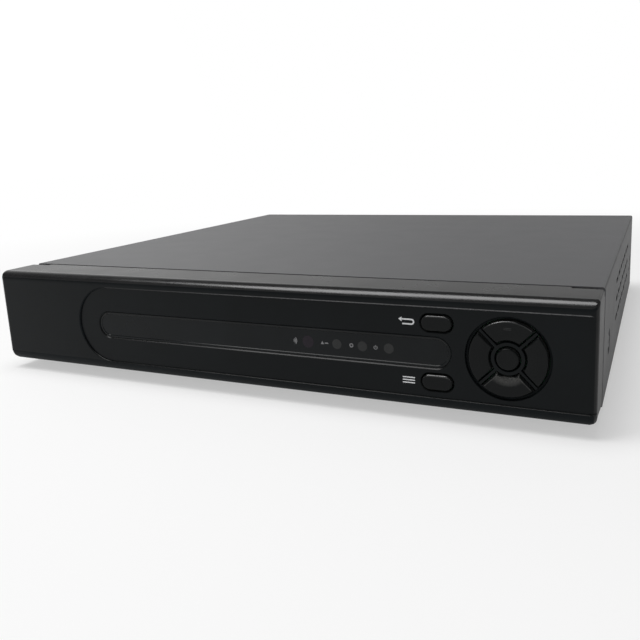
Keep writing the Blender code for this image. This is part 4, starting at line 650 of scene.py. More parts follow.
track_left = RECESS_LEFT + RECESS_RADIUS
track_right = HALF_WIDTH + 2 * RECESS_RADIUS
levels = [(-FRONT_WALL, RECESS_RADIUS), *flared_edge(RECESS_DEPTH, RECESS_RADIUS, RECESS_LIP)]
track = slot_solid(track_right - track_left, levels, steps=64)
recess = make("recess", track, place=on_front((track_left + track_right) / 2, FRONT_Z))
boolean(recess, "DIFFERENCE", set_back)
boolean(bezel, "DIFFERENCE", recess)
print("bezel with recess:", len(bezel.data.polygons), "faces")

# %% The openings in the recess
LIP = 0.0004
SLOT_KEYS = ("esc_button", "menu_button")
KEY_RADIUS = 0.0032
KEY_STRAIGHT = 0.0062
KEY_GAP = 0.0006
PAD_RADIUS = 0.0165
WINDOW_RADIUS = (window_high.z - window_low.z) / 2
WINDOW_STRAIGHT = window_high.x - window_low.x - 2 * WINDOW_RADIUS
WINDOW_X = (window_low.x + window_high.x) / 2
WINDOW_GAP = 0.0005
WINDOW_POCKET = 0.0017
WINDOW_LIP = 0.00045
WINDOW_SLOPE = 0.0004

radius = WINDOW_RADIUS + WINDOW_GAP
levels = [(-WINDOW_POCKET, radius), (-WINDOW_LIP, radius)]
levels += [(height, radius + WINDOW_SLOPE) for height in (0, PAST)]
pocket = slot_solid(WINDOW_STRAIGHT, levels, steps=40)
openings = [make("pocket", pocket, place=on_front(WINDOW_X, FRONT_Z))]
radius = KEY_RADIUS + KEY_GAP
levels = [(-FRONT_WALL - PAST, radius), *flared_edge(0, radius, LIP)]
for node in SLOT_KEYS:
    opening = slot_solid(KEY_STRAIGHT, levels)
    openings.append(make("key_opening", opening, place=on_front(KEY_X, middle_of(node).z)))
profile = [(0, PAST), *as_profile(flared_edge(0, PAD_RADIUS, LIP))]
profile += [(PAD_RADIUS, -FRONT_WALL - PAST), (0, -FRONT_WALL - PAST)]
pad_place = on_front(PAD_X, FRONT_Z)
openings.append(make("pad_hole", turned_solid(profile, steps=128), place=pad_place))
boolean(bezel, "DIFFERENCE", *openings)
print("cut bezel:", len(bezel.data.polygons), "faces")

# %% [markdown]
# The direction pad has no separate frame: a ring round the centre key and four diagonal webs stand in
# the hole, and a rim at its floor carries them. They are part of the bezel, sunk a little below the
# recess so that the keys lead.

# %% The ring, the webs and the rim of the direction pad
WEB_DROP = 0.0003
WEB_WIDTH = 0.0012
WEB_EDGE = 0.00025
GROOVE_FLOOR = -0.0016
KEY_OUTER = 0.01515
NAV_GAP = 0.0005
RING_INNER = 0.0050
RING_OUTER = 0.0066
RING_EDGE = 0.0003
SPIDER_BACK = WALL_BACK + NEAR


def ring_profile(inner, outer, top, back, edge):
    """A ring's section with both top edges rounded."""
    outside = as_profile(rounded_edge(top, outer, edge))
    mirror = 2 * (inner + edge)
    inside = [(mirror - radius, height) for height, radius in rounded_edge(top, inner + 2 * edge, edge)]
    return [*inside, *outside, (outer, back), (inner, back)]


def web_solid():
    """Four webs from the ring outwards, each with a low foot that reaches into the rim."""
    bm = bmesh.new()
    root = (RING_INNER + RING_OUTER) / 2
    tip = KEY_OUTER + NAV_GAP / 2
    foot = KEY_OUTER + 2 * NAV_GAP
    corners = [(root, SPIDER_BACK), (foot, SPIDER_BACK), (foot, GROOVE_FLOOR)]
    corners += [(tip, GROOVE_FLOOR), (tip, -WEB_DROP), (root, -WEB_DROP)]
    for turn in range(4):
        near = [bm.verts.new((x, -WEB_WIDTH / 2, z)) for x, z in corners]
        far = [bm.verts.new((x, WEB_WIDTH / 2, z)) for x, z in corners]
        bm.faces.new(near)
        bm.faces.new(far)
        bridge(bm, near, far)
        spin = Matrix.Rotation(math.pi / 4 + turn * math.pi / 2, 4, "Z")
        bmesh.ops.transform(bm, matrix=spin, verts=near + far)
    return bm


ring = ring_profile(RING_INNER, RING_OUTER, -WEB_DROP, SPIDER_BACK, RING_EDGE)
spider = make("spider", turned_solid(ring, steps=96, closed=True))
webs = bevel(make("webs", web_solid()), WEB_EDGE)
rim = square_section(KEY_OUTER + NAV_GAP, PAD_RADIUS + LIP, GROOVE_FLOOR, SPIDER_BACK)
boolean(spider, "UNION", webs, make("rim", turned_solid(rim, steps=128, closed=True)))
spider.data.transform(pad_place)
boolean(bezel, "UNION", spider)
flatten_normals(bezel)
print("bezel with pad:", len(bezel.data.polygons), "faces")

# %% [markdown]
# The moulding isn't equally glossy all over. Its top is as dull as the painted case and the bullnose is
# polished. The flat front is deep black and mirrors very little, and the ends, where they turn to the
# side, take a lighter colour, painted light. The lips of the recess and of the window's pocket that face
# up are a little glossier, and the upper lip of the recess carries a painted highlight that grows paler
# towards the keys. The grooves round the keys and the faces under the moulding are left as the tool cut
# them, without gloss, and their colour is lighter than the front's, painted light that lifts their shade.
# Each face of the mesh takes one of these finishes by where it lies and which way it faces.

# %% The finishes of one moulding
STRIP, POLISHED, GROOVE, LIT_END, UNDER, EDGE, RECESS_EDGE = 1, 2, 3, 4, 5, 6, 7
SIDEWAYS = 0.6
UNDERNEATH = -0.10
LIP_TURN = 0.4
WALL_TURN = -0.5
BULLNOSE_LOW = math.sin(math.radians(25))
FLAT = math.cos(math.radians(6))
GROOVE_START = 0.0002
GROOVE_DEEP = 0.0009
LIP_LOW = FRONT_Z - RECESS_RADIUS - RECESS_LIP - NEAR
KEY_SIDE = KEY_X - 0.012
POCKET_RADIUS = WINDOW_RADIUS + WINDOW_GAP + WINDOW_SLOPE + NEAR


def zone_of(face):
    """The finish of a face of the bezel."""
    middle, facing = face.center, face.normal
    sunk = middle.y - RECESS_Y
    # Faces at the ends that turn to the side take the lighter colour, painted light.
    if abs(facing.x) > SIDEWAYS and abs(middle.x) > BEZEL_HALF - END_ROUND:
        return LIT_END
    if facing.z < UNDERNEATH and middle.z < BEZEL_LOW + BOTTOM_ROUND:
        return UNDER
    if middle.z > TOP_Z - REAR_ROUND and middle.y > FRONT_Y + TOP_ROUND - NEAR:
        return STRIP
    beside = abs(middle.x - WINDOW_X) < WINDOW_STRAIGHT / 2 + POCKET_RADIUS
    if beside and abs(middle.z - FRONT_Z) < POCKET_RADIUS and 0 < sunk < WINDOW_LIP and facing.z > LIP_TURN:
        return EDGE
    if middle.z > TOP_Z - TOP_ROUND:
        return POLISHED if facing.z > BULLNOSE_LOW and middle.y < FRONT_Y + TOP_ROUND else 0
    if middle.x > KEY_SIDE and sunk > GROOVE_START:
        walls = facing.y > WALL_TURN and sunk < FRONT_WALL
        groove = UNDER if math.hypot(middle.x - PAD_X, middle.z - FRONT_Z) < PAD_RADIUS + LIP else GROOVE
        return groove if walls or GROOVE_DEEP < sunk < FRONT_WALL else 0
    if middle.z < LIP_LOW or abs(middle.x) > BEZEL_HALF - END_ROUND or facing.y < -FLAT:
        return 0
    if sunk < -NEAR:
        if facing.z > LIP_TURN:
            return EDGE
        # Left of the track the lip takes the dull under finish, and elsewhere the lip finish with its
        # painted highlight.
        return UNDER if middle.x < track_left else RECESS_EDGE
    return 0


extras = [strip_plastic, polished_plastic, groove_plastic, end_plastic]
extras += [under_plastic, edge_plastic, lip_plastic]
for extra in extras:
    bezel.data.materials.append(extra)
for face in bezel.data.polygons:
    face.material_index = zone_of(face)
zones = [face.material_index for face in bezel.data.polygons]
print("bezel faces by finish:", [zones.count(zone) for zone in range(len(extras) + 1)])
dress(bezel, ROOT, "black_plastic", "front_bezel")

# %% [markdown]
# ## The keys
#
# Each key is a thin cap with rounded edges that shows above its opening. The two slot keys are lofts,
# and the round centre key is a turned cap with a shallow dish. A direction key is a quarter of a ring
# whose top dips towards the middle. Its surface is drawn point by point: the height at each point falls
# away by a quarter circle as the point comes near any edge.

# %% Slot keys and the centre key
KEY_PROUD = 0.0007
KEY_ROUND = 0.0009
KEY_SKIRT = -0.0024
OK_RADIUS = 0.0044
DISH, DISH_SHARE, DISH_STEPS = 0.00025, 0.8, 5
UPWARD = math.sin(math.radians(20))
RUBBED, DULL = 1, 2


def polish_edges(cap, polished=True):
    """Gives the rubbed finish to the faces of a cap that turn up to the finger, and dulls its skirt."""
    for extra in (rubbed_plastic, groove_plastic):
        cap.data.materials.append(extra)
    for face in cap.data.polygons:
        if face.center.y > RECESS_Y + GROOVE_DEEP:
            face.material_index = DULL
        elif polished and face.normal.z > UPWARD and face.normal.y < -UPWARD:
            face.material_index = RUBBED


levels = [(KEY_SKIRT, KEY_RADIUS), *rounded_edge(KEY_PROUD, KEY_RADIUS, KEY_ROUND)]
for node in SLOT_KEYS:
    key_place = on_front(KEY_X, middle_of(node).z)
    cap = make(node + "_cap", slot_solid(KEY_STRAIGHT, levels), key_plastic, key_place)
    flatten_normals(cap)
    polish_edges(cap)
    dress(cap, node, "key_plastic", node)

shares = [i / DISH_STEPS for i in range(DISH_STEPS + 1)]
profile = [(OK_RADIUS * DISH_SHARE * share, KEY_PROUD - DISH * (1 - share**2)) for share in shares]
profile += as_profile(rounded_edge(KEY_PROUD, OK_RADIUS, KEY_ROUND))
profile += [(OK_RADIUS, KEY_SKIRT), (0, KEY_SKIRT)]
centre_key = make("ok_button_cap", turned_solid(profile, steps=72), key_plastic, pad_place)
polish_edges(centre_key, polished=False)
dress(centre_key, "ok_button", "key_plastic", "ok_button")

# %% The surface of a direction key
KEY_INNER = RING_OUTER + NAV_GAP
KEY_INSET = WEB_WIDTH / 2 + NAV_GAP
CREASE_RADIUS = 0.0113
BOWL_DROP, BOWL_POWER = 0.0007, 1.5
ACROSS, ALONG, END_STEPS = 40, 64, 8


def spaced(steps, low, high, margin):
    """Places from low to high, close together within the margin at both ends."""
    ends = [margin * (1 - math.cos(a)) for a in quarter(END_STEPS)]
    span = high - low - 2 * margin
    count = steps - 2 * END_STEPS
    inside = [margin + span * i / count for i in range(1, count)]
    return [low + e for e in ends] + [low + i for i in inside] + [high - e for e in reversed(ends)]


def key_height(radius, side):
    """Height of a direction key's top at a radius and a distance from its nearer straight side."""
    dip = max(0.0, (CREASE_RADIUS - radius) / (CREASE_RADIUS - KEY_INNER)) ** BOWL_POWER
    edge = min(KEY_OUTER - radius, radius - KEY_INNER)
    a = max(0.0, KEY_ROUND - edge)
    b = max(0.0, KEY_ROUND - side)
    fall = KEY_ROUND - math.sqrt(max(0.0, KEY_ROUND**2 - a * a - b * b))
    return KEY_PROUD - BOWL_DROP * dip - fall


def weave(bm, rows):
    """Faces between neighbouring rows of points."""
    for lower, upper in zip(rows, rows[1:]):
        for i in range(len(lower) - 1):
            bm.faces.new((lower[i], lower[i + 1], upper[i + 1], upper[i]))


def direction_key():
    """The upper key: its woven top, a skirt round it and a flat back."""
    bm = bmesh.new()
    rows = []
    for radius in spaced(ACROSS, KEY_INNER, KEY_OUTER, KEY_ROUND):
        start = math.pi / 4 + math.asin(KEY_INSET / radius)
        end = math.pi - start
        row = []
        for angle in spaced(ALONG, start, end, KEY_ROUND / radius):
            near = min(angle - math.pi / 4, math.pi * 3 / 4 - angle)
            side = radius * math.sin(near) - KEY_INSET
            x, y = radius * math.cos(angle), radius * math.sin(angle)
            row.append(bm.verts.new((x, y, key_height(radius, max(side, 0.0)))))
        rows.append(row)
    weave(bm, rows)
    outline = rows[0] + [row[-1] for row in rows[1:]] + rows[-1][-2::-1] + [row[0] for row in rows[-2:0:-1]]
    skirt = [bm.verts.new((vert.co.x, vert.co.y, KEY_SKIRT)) for vert in outline]
    bridge(bm, outline, skirt)
    bm.faces.new(skirt)
    return bm


# %% Direction keys
NAV_KEYS = ("nav_up_button", "nav_left_button", "nav_down_button", "nav_right_button")
HIGHLIGHT_SIDEWAYS = 0.22
KEY_SIDES = 3

for quarters, name in enumerate(NAV_KEYS):
    turn = Matrix.Rotation(quarters * math.pi / 2, 4, "Z")
    # The lower key takes the painted highlight in its bowl, and faces that turn far sideways keep the plain
    # key plastic.
    cap_finish = worn_plastic if name == "nav_down_button" else key_plastic
    cap = make(name + "_cap", direction_key(), cap_finish, pad_place @ turn)
    polish_edges(cap, polished=name == "nav_up_button")
    cap.data.materials.append(key_plastic)
    for face in cap.data.polygons:
        if face.material_index == 0 and abs(face.normal.x) > HIGHLIGHT_SIDEWAYS:
            face.material_index = KEY_SIDES
    dress(cap, name, "key_plastic", name)

# %% [markdown]
# ## The indicator window
#
# A strip of smoked plastic lies sunk in a bevelled pocket of the recess. The lamps behind it show as
# flat grey discs, and the remote receiver as a slightly larger violet one. The strip is a slot-shaped
# loft with a fine raised rim, whose upper run carries a painted highlight, a lighter colour. The discs
# are thin inlays in its face, so they keep their own finish from any side.

# %% The window
WINDOW_SINK = 0.0005
WINDOW_FACE = RECESS_Y - window_low.y - WINDOW_SINK
WINDOW_BACK = RECESS_Y - window_high.y
GAP_FILLED = 0.92
BEAD = 0.00025
BEAD_WIDTH = 0.0012
BEAD_TOP = 0.6
STRIP_RADIUS = WINDOW_RADIUS + WINDOW_GAP * GAP_FILLED
STRIP_ROUND = 0.0003

levels = [(WINDOW_BACK, STRIP_RADIUS), *rounded_edge(WINDOW_FACE + BEAD, STRIP_RADIUS, STRIP_ROUND)]
levels += [(WINDOW_FACE + BEAD, STRIP_RADIUS - BEAD_WIDTH + BEAD), (WINDOW_FACE, STRIP_RADIUS - BEAD_WIDTH)]
strip = slot_solid(WINDOW_STRAIGHT, levels, steps=40)
window = make("window_strip", strip, window_plastic, on_front(WINDOW_X, FRONT_Z))
flatten_normals(window)
# The upper run of the rim takes the lighter finish, a painted highlight.
window.data.materials.append(end_plastic)
for face in window.data.polygons:
    on_bead = face.normal.y < -FLAT and face.center.y < RECESS_Y - WINDOW_FACE - BEAD / 2
    face.material_index = int(on_bead and face.center.z > FRONT_Z + BEAD_TOP * WINDOW_RADIUS)
dress(window, ROOT, "smoked_plastic", "indicator_window")

# %% The discs of the receiver and the lamps
INLAY = 0.00004
RECEIVER_RADIUS, GUIDE_RADIUS = 0.0027, 0.00215
LIGHT_GUIDES = ["alarm_light_guide", "record_light_guide", "power_light_guide"]

for node in ("ir_receiver", *LIGHT_GUIDES):
    lamp_disc = node in LIGHT_GUIDES
    radius = GUIDE_RADIUS if lamp_disc else RECEIVER_RADIUS
    disc_finish = guide_plastic if lamp_disc else receiver_plastic
    profile = [(0, WINDOW_FACE + INLAY), *as_profile(rounded_edge(WINDOW_FACE + INLAY, radius, INLAY / 2))]
    disc = turned_solid([*profile, (radius, WINDOW_BACK / 2), (0, WINDOW_BACK / 2)])
    inlay = make(node + "_disc", disc, disc_finish, on_front(middle_of(node).x, FRONT_Z))
    dress(inlay, ROOT, "guide_plastic" if lamp_disc else "receiver_plastic")

# %% [markdown]
# ## Printed signs
#
# Small signs are printed beside the keys and the lamps. Plain pictograms stand here: an arrow that turns
# back, a list, and tiny signs for the lamps. Each is a flat outline with the thickness of ink, a few
# hundredths of a millimetre.


# %% Shapes of signs
def prisms(outlines, low, high):
    """Flat outlines, each given a thickness from low to high."""
    bm = bmesh.new()
    for points in outlines:
        lower = [bm.verts.new((x, y, low)) for x, y in points]
        upper = [bm.verts.new((x, y, high)) for x, y in points]
        bm.faces.new(lower)
        bm.faces.new(upper)
        bridge(bm, lower, upper)
    return bm


def bar(x0, y0, x1, y1):
    return [(x0, y0), (x1, y0), (x1, y1), (x0, y1)]


def arc_band(radius, width, start, end, steps=20):
    angles = [start + (end - start) * i / steps for i in range(steps + 1)]
    outer = [(radius * math.cos(a), radius * math.sin(a)) for a in angles]
    inner = [((radius - width) * math.cos(a), (radius - width) * math.sin(a)) for a in reversed(angles)]
    return outer + inner


def moved(points, x, y):
    return [(px + x, py + y) for px, py in points]


def back_arrow(width, height, line, start=0.5, neck=0.55, barb=0.38):
    """An arrow that runs back to the left from a half turn, with a head in shares of its height."""
    radius = height / 2 - line / 2
    tip = -width / 2
    turn = moved(arc_band(radius + line / 2, line, -math.pi / 2, math.pi / 2), width / 2 - radius, 0)
    upper = bar(tip + height * start, radius - line / 2, width / 2 - radius, radius + line / 2)
    lower = bar(-width / 4, -radius - line / 2, width / 2 - radius, -radius + line / 2)
    head = [(tip, radius)]
    head += [(tip + height * neck, radius - height * barb), (tip + height * neck, radius + height * barb)]
    return [turn, upper, lower, head]


def list_sign(width, height, line):
    rows = [row * (height - line) / 2 for row in (-1, 0, 1)]
    return [bar(-width / 2, y - line / 2, width / 2, y + line / 2) for y in rows]


def wave_sign(size, line, spread=0.8, shares=(0.45, 0.75, 1.05)):
    return [arc_band(size * share, line, -spread, spread, steps=10) for share in shares]


def bell_sign(size, line, foot=0.7, dash_start=1.4, dash_end=3.4):
    bell = [(-size, -size * foot), (size, -size * foot), (0, size)]
    return [bell, bar(size * dash_start, -line, size * dash_end, line)]


def ring_sign(size, line):
    return [arc_band(size, line, start, start + math.pi, steps=12) for start in (0, math.pi)]


def power_sign(size, line, gap=math.radians(38), stem=1.15):
    ring = arc_band(size, line, math.pi / 2 + gap, math.pi * 2.5 - gap, steps=24)
    return [ring, bar(-line / 2, 0, line / 2, size * stem)]


# %% Signs beside the keys and lamps
INK = 0.00004
INK_LIFT = 0.000005
GLINT_HALF, GLINT_LINE, GLINT_ROWS = 0.0014, 0.00012, (0.0118, 0.0124)
KEY_SIGNS = {
    "back_sign": (back_arrow(0.0064, 0.0025, 0.0006), 0.0770, "esc_button"),
    "list_sign": (list_sign(0.0052, 0.0027, 0.00045), 0.0776, "menu_button"),
}
LAMP_SIGNS = {
    "receiver_sign": (wave_sign(0.0021, 0.00036), 0.0244),
    "alarm_sign": (bell_sign(0.0008, 0.00026), 0.0388),
    "record_sign": (ring_sign(0.0009, 0.00042), 0.0523),
    "power_sign": (power_sign(0.0009, 0.00034), 0.0632),
}


def printed(name, shapes, ink, x, z, out):
    return make(name, prisms(shapes, 0, INK), ink, on_front(x, z, out + INK_LIFT))


for name, (shapes, x, node) in KEY_SIGNS.items():
    dress(printed(name, shapes, label_ink, x, middle_of(node).z, 0), ROOT, "guide_plastic")
# Two light bars on the upper direction key are a painted highlight where its bowl meets the flat.
crease_glint = [bar(-GLINT_HALF, y - GLINT_LINE, GLINT_HALF, y + GLINT_LINE) for y in GLINT_ROWS]
dress(printed("up_mark", crease_glint, guide_plastic, PAD_X, FRONT_Z, KEY_PROUD), "nav_up_button", "guide_plastic")
for name, (shapes, x) in LAMP_SIGNS.items():
    dress(printed(name, shapes, faint_ink, x, FRONT_Z, WINDOW_FACE), ROOT, "guide_plastic")

# %% [markdown]
# ## What repeats
#
# Geometry Nodes set out everything that repeats. One tree puts a piece on every vertex of a point mesh
# and turns it to face along that vertex's facing attribute: screws, feet and sockets use it. A second
# tree sets pieces round a circle, which makes the fan's blades. A third cuts a grid of slots, which
# makes the side vents. Each tree ends in Realize Instances and Set Material, and its result is settled
# into plain mesh.


# %% What the trees share
def new_tree(name, **inputs):
    """A node group with a geometry in and out, and the named inputs given as socket kinds."""
    tree = bpy.data.node_groups.new(name, "GeometryNodeTree")
    tree.interface.new_socket("Geometry", in_out="INPUT", socket_type="NodeSocketGeometry")
    for label, kind in inputs.items():
        tree.interface.new_socket(label, in_out="INPUT", socket_type="NodeSocket" + kind)
    tree.interface.new_socket("Geometry", in_out="OUTPUT", socket_type="NodeSocketGeometry")
    return tree, tree.nodes.new("NodeGroupInput").outputs, tree.nodes.new("NodeGroupOutput").inputs


def copies(tree, points, piece, turns=None):
    """Copies of a piece on points, turned by a field or left as they are."""
    source = add_node(tree, "GeometryNodeObjectInfo", {"Object": piece, "As Instance": True})
    inputs = {"Points": points, "Instance": source.outputs["Geometry"]}
    if turns is not None:
        inputs["Rotation"] = turns
    return add_node(tree, "GeometryNodeInstanceOnPoints", inputs).outputs["Instances"]


def realize(tree, instances):
    return add_node(tree, "GeometryNodeRealizeInstances", {"Geometry": instances}).outputs["Geometry"]


def close_tree(tree, instances, material, out):
    inputs = {"Geometry": realize(tree, instances), "Material": material}
    painted = add_node(tree, "GeometryNodeSetMaterial", inputs)
    feed(tree, painted.outputs["Geometry"], out["Geometry"])
    return tree


# %% Trees for pieces on points, pieces round a circle and slots in a grid
SIDE_ON = (math.pi / 2, 0, math.pi / 2)


def points_tree():
    tree, given, out = new_tree("pieces_on_points", Piece="Object", Finish="Material")
    facing = add_node(tree, "GeometryNodeInputNamedAttribute", {"Name": "facing"}, data_type="FLOAT_VECTOR")
    inputs = {"Vector": facing.outputs["Attribute"]}
    align = add_node(tree, "FunctionNodeAlignRotationToVector", inputs, axis="Z")
    instances = copies(tree, given["Geometry"], given["Piece"], align.outputs["Rotation"])
    return close_tree(tree, instances, given["Finish"], out)


def circle_tree():
    tree, given, out = new_tree("pieces_round_circle", Count="Int", Piece="Object", Finish="Material")
    circle = add_node(tree, "GeometryNodeMeshCircle", {"Vertices": given["Count"], "Radius": 0.0})
    share = maths(tree, "DIVIDE", 2 * math.pi, given["Count"])
    angle = maths(tree, "MULTIPLY", add_node(tree, "GeometryNodeInputIndex").outputs["Index"], share)
    turn = add_node(tree, "ShaderNodeCombineXYZ", {"Z": angle})
    instances = copies(tree, circle.outputs["Mesh"], given["Piece"], turn.outputs["Vector"])
    return close_tree(tree, instances, given["Finish"], out)


def slots_tree():
    tree, given, out = new_tree(
        "slots_in_grid", Columns="Int", Rows="Int", Length="Float", Height="Float",
        Middle="Vector", Slot="Object", Finish="Material",
    )
    sizes = {"Size X": "Length", "Size Y": "Height", "Vertices X": "Columns", "Vertices Y": "Rows"}
    grid = add_node(tree, "GeometryNodeMeshGrid", {socket: given[label] for socket, label in sizes.items()})
    slots = copies(tree, grid.outputs["Mesh"], given["Slot"])
    inputs = {"Geometry": slots, "Translation": given["Middle"], "Rotation": SIDE_ON}
    side_on = add_node(tree, "GeometryNodeTransform", inputs).outputs["Geometry"]
    inputs = {"Mesh 1": given["Geometry"], "Mesh 2": realize(tree, side_on)}
    cut = add_node(tree, "GeometryNodeMeshBoolean", inputs, operation="DIFFERENCE", solver="EXACT")
    return close_tree(tree, cut.outputs["Mesh"], given["Finish"], out)


POINTS_TREE = points_tree()
CIRCLE_TREE = circle_tree()
SLOTS_TREE = slots_tree()
print("trees:", [tree.name for tree in bpy.data.node_groups])


# %% Running a tree
def run_tree(obj, tree, *helpers, **values):
    """Runs a tree on an object with the named values, and settles the result into plain mesh."""
    modifier = obj.modifiers.new(tree.name, "NODES")
    modifier.node_group = tree
    for item in tree.interface.items_tree:
        if item.in_out == "INPUT" and item.name in values:
            modifier[item.identifier] = values[item.name]
    return settle(obj, *helpers)


def set_out(name, source, places, material):
    """Copies of a piece, each at a place and facing a direction, as one mesh."""
    mesh = bpy.data.meshes.new(name)
    mesh.from_pydata([place for place, facing in places], [], [])
    directions = mesh.attributes.new("facing", "FLOAT_VECTOR", "POINT")
    for item, (place, facing) in zip(directions.data, places):
        item.vector = facing
    obj = run_tree(stand(name, mesh), POINTS_TREE, source, Piece=source, Finish=material)
    for attribute in [a for a in obj.data.attributes if a.name == "facing"]:
        obj.data.attributes.remove(attribute)
    return obj


# %% [markdown]
# ## The cover
#
# The cover is one folded sheet, 0.8 mm thick: a top with a small bend at each side, and a lip at the
# rear. Round dimples are pressed into the sides for its screws, so that the heads lie below the surface.
# The sheet is drawn as an open strip and thickened with Solidify, the dimples are turned shapes, and the
# vents are cut by the slot tree.

# %% The folded sheet
COVER_SHEET = 0.0008
COVER_BEND, BEND_STEPS = 0.0012, 10
COVER_LIP = 0.007
COVER_EDGE = 0.0001


def folded_sheet():
    bm = bmesh.new()
    across, up = HALF_WIDTH - COVER_BEND, TOP_Z - COVER_BEND
    bend = [(across + COVER_BEND * math.cos(a), up + COVER_BEND * math.sin(a)) for a in quarter(BEND_STEPS)]
    section = [(HALF_WIDTH, BASE_Z), *bend]
    section += [(-x, z) for x, z in reversed(section)]
    front, rear = [[bm.verts.new((x, y, z)) for x, z in section] for y in (SEAM_Y, REAR_Y)]
    weave(bm, [front, rear])
    flat = len(bend)
    low = [bm.verts.new((x, REAR_Y, TOP_Z - COVER_LIP)) for x in (section[flat][0], section[flat + 1][0])]
    bm.faces.new((rear[flat], rear[flat + 1], low[1], low[0]))
    return bm


cover = make("cover_sheet", folded_sheet(), powder_coat)
alter(cover, "SOLIDIFY", thickness=COVER_SHEET, offset=-1.0, use_even_offset=True)
bevel(cover, COVER_EDGE)
print("sheet:", len(cover.data.polygons), "faces")

# %% Dimples and screw holes
DIMPLE_RADIUS = 0.0055
DIMPLE_FLOOR = 0.0043
DIMPLE_DEPTH = 0.0018
DIMPLE_LIP = 0.0006
SCREW_HOLE = 0.0018
SIDE_SCREWS = [f"cover_screw_{side}_{end}" for side in ("left", "right") for end in ("front", "rear")]
REAR_SCREWS = [f"rear_screw_{place}" for place in ("left", "middle", "right")]


def facing_out(x):
    return Vector((math.copysign(1, x), 0, 0))


def side_place(node):
    """Puts z out of the cover's side, at a screw."""
    at = middle_of(node)
    out = facing_out(at.x)
    turn = out.to_track_quat("Z", "Y").to_matrix().to_4x4()
    return Matrix.Translation((out.x * HALF_WIDTH, at.y, at.z)) @ turn


mouth = DIMPLE_RADIUS + DIMPLE_LIP
pressed = [(0, PAST), (mouth, PAST), (mouth, 0.0)]
pressed += [
    (DIMPLE_RADIUS + DIMPLE_LIP * (1 - math.sin(a)), -DIMPLE_LIP * (1 - math.cos(a))) for a in quarter()[1:]
]
pressed += [(DIMPLE_FLOOR, -DIMPLE_DEPTH), (0, -DIMPLE_DEPTH)]
outside = [(0, -COVER_SHEET / 2), (DIMPLE_RADIUS + COVER_SHEET, -COVER_SHEET / 2)]
outside += [(DIMPLE_FLOOR + COVER_SHEET, -DIMPLE_DEPTH - COVER_SHEET), (0, -DIMPLE_DEPTH - COVER_SHEET)]
through = square_section(0, SCREW_HOLE, PAST, -PAST)
backs, hollows = [], []
for node in SIDE_SCREWS:
    backs.append(make("back", turned_solid(outside), place=side_place(node)))
    hollows.append(make("dent", turned_solid(pressed), place=side_place(node)))
    hollows.append(make("hole", turned_solid(through, steps=24), place=side_place(node)))
for node in REAR_SCREWS:
    at = middle_of(node)
    hollows.append(make("hole", turned_solid(through, steps=24), place=on_rear(at.x, at.z)))
boolean(cover, "UNION", *backs)
boolean(cover, "DIFFERENCE", *hollows)
print("cover with dimples:", len(cover.data.polygons), "faces")

# %% Vents and finish of the cover
VENT_COLUMNS, VENT_ROWS = 7, 3
VENT_LENGTH, VENT_HEIGHT = 0.0135, 0.0024
VENT_PITCH, VENT_ROW_PITCH = 0.0175, 0.0094
VENT_START, VENT_LOW = 0.075, 0.0176

vent_span = (VENT_COLUMNS - 1) * VENT_PITCH
vent_rise = (VENT_ROWS - 1) * VENT_ROW_PITCH
vent_middle = (0, SEAM_Y + VENT_START + (VENT_LENGTH + vent_span) / 2, BASE_Z + VENT_LOW + vent_rise / 2)
levels = [(across, VENT_HEIGHT / 2) for across in (-HALF_WIDTH - PAST, HALF_WIDTH + PAST)]
slot = make("slot", slot_solid(VENT_LENGTH - VENT_HEIGHT, levels, steps=8))
run_tree(
    cover, SLOTS_TREE, slot, Columns=VENT_COLUMNS, Rows=VENT_ROWS, Length=vent_span, Height=vent_rise,
    Middle=vent_middle, Slot=slot, Finish=powder_coat,
)
flatten_normals(cover)
# The faces turned to the side take the darker coat, painted shade.
cover.data.materials.append(side_coat)
for face in cover.data.polygons:
    face.material_index = int(abs(face.normal.x) > SIDEWAYS)
dress(cover, ROOT, "painted_steel", "top_cover")

# %% [markdown]
# ## Screws and feet
#
# All screws have a low pan head with a cross recess. One head is turned, a cross is cut into it, and the
# point tree sets a copy at each screw of the frame, with the head facing out of the sheet it holds. The
# feet are soft moulded discs with a hollow middle and a rounded rim.

# %% Screws
HEAD_RADIUS, HEAD_HEIGHT, HEAD_ROUND = 0.0030, 0.0014, 0.0008
SHANK_RADIUS = 0.0015
CROSS_ARM, CROSS_SLIT, CROSS_DEPTH = 0.0016, 0.00032, 0.0009
CASE_SHANK, DRIVE_SHANK = 0.006, 0.0086
BEZEL_SCREWS = ["bezel_screw_left", "bezel_screw_right"]
DRIVE_SCREWS = [f"drive_screw_{number}" for number in (1, 2, 3, 4)]
BACKWARD, DOWNWARD = Vector((0, 1, 0)), Vector((0, 0, -1))


def screw_piece(length):
    """A screw whose head stands on z = 0, with a cross cut into it."""
    profile = [(0, HEAD_HEIGHT), *as_profile(rounded_edge(HEAD_HEIGHT, HEAD_RADIUS, HEAD_ROUND))]
    profile += [(HEAD_RADIUS, 0), (SHANK_RADIUS, 0), (SHANK_RADIUS, -length), (0, -length)]
    screw = make("screw", turned_solid(profile, steps=32))
    slits = []
    for x, y in ((CROSS_ARM, CROSS_SLIT), (CROSS_SLIT, CROSS_ARM)):
        slits.append(make("slit", box_solid(((-x, -y, HEAD_HEIGHT - CROSS_DEPTH), (x, y, PAST)))))
    boolean(screw, "DIFFERENCE", *slits)
    smooth(screw.data)
    return screw


def screw_places(nodes, facing=None):
    """Where each screw's head stands, from the frame's box and the way that the head faces."""
    places = []
    for node in nodes:
        low, high = box_of(node)
        out = facing or facing_out(low.x)
        places.append(((low + high) / 2 + out * (abs((high - low).dot(out)) / 2 - HEAD_HEIGHT), out))
    return places


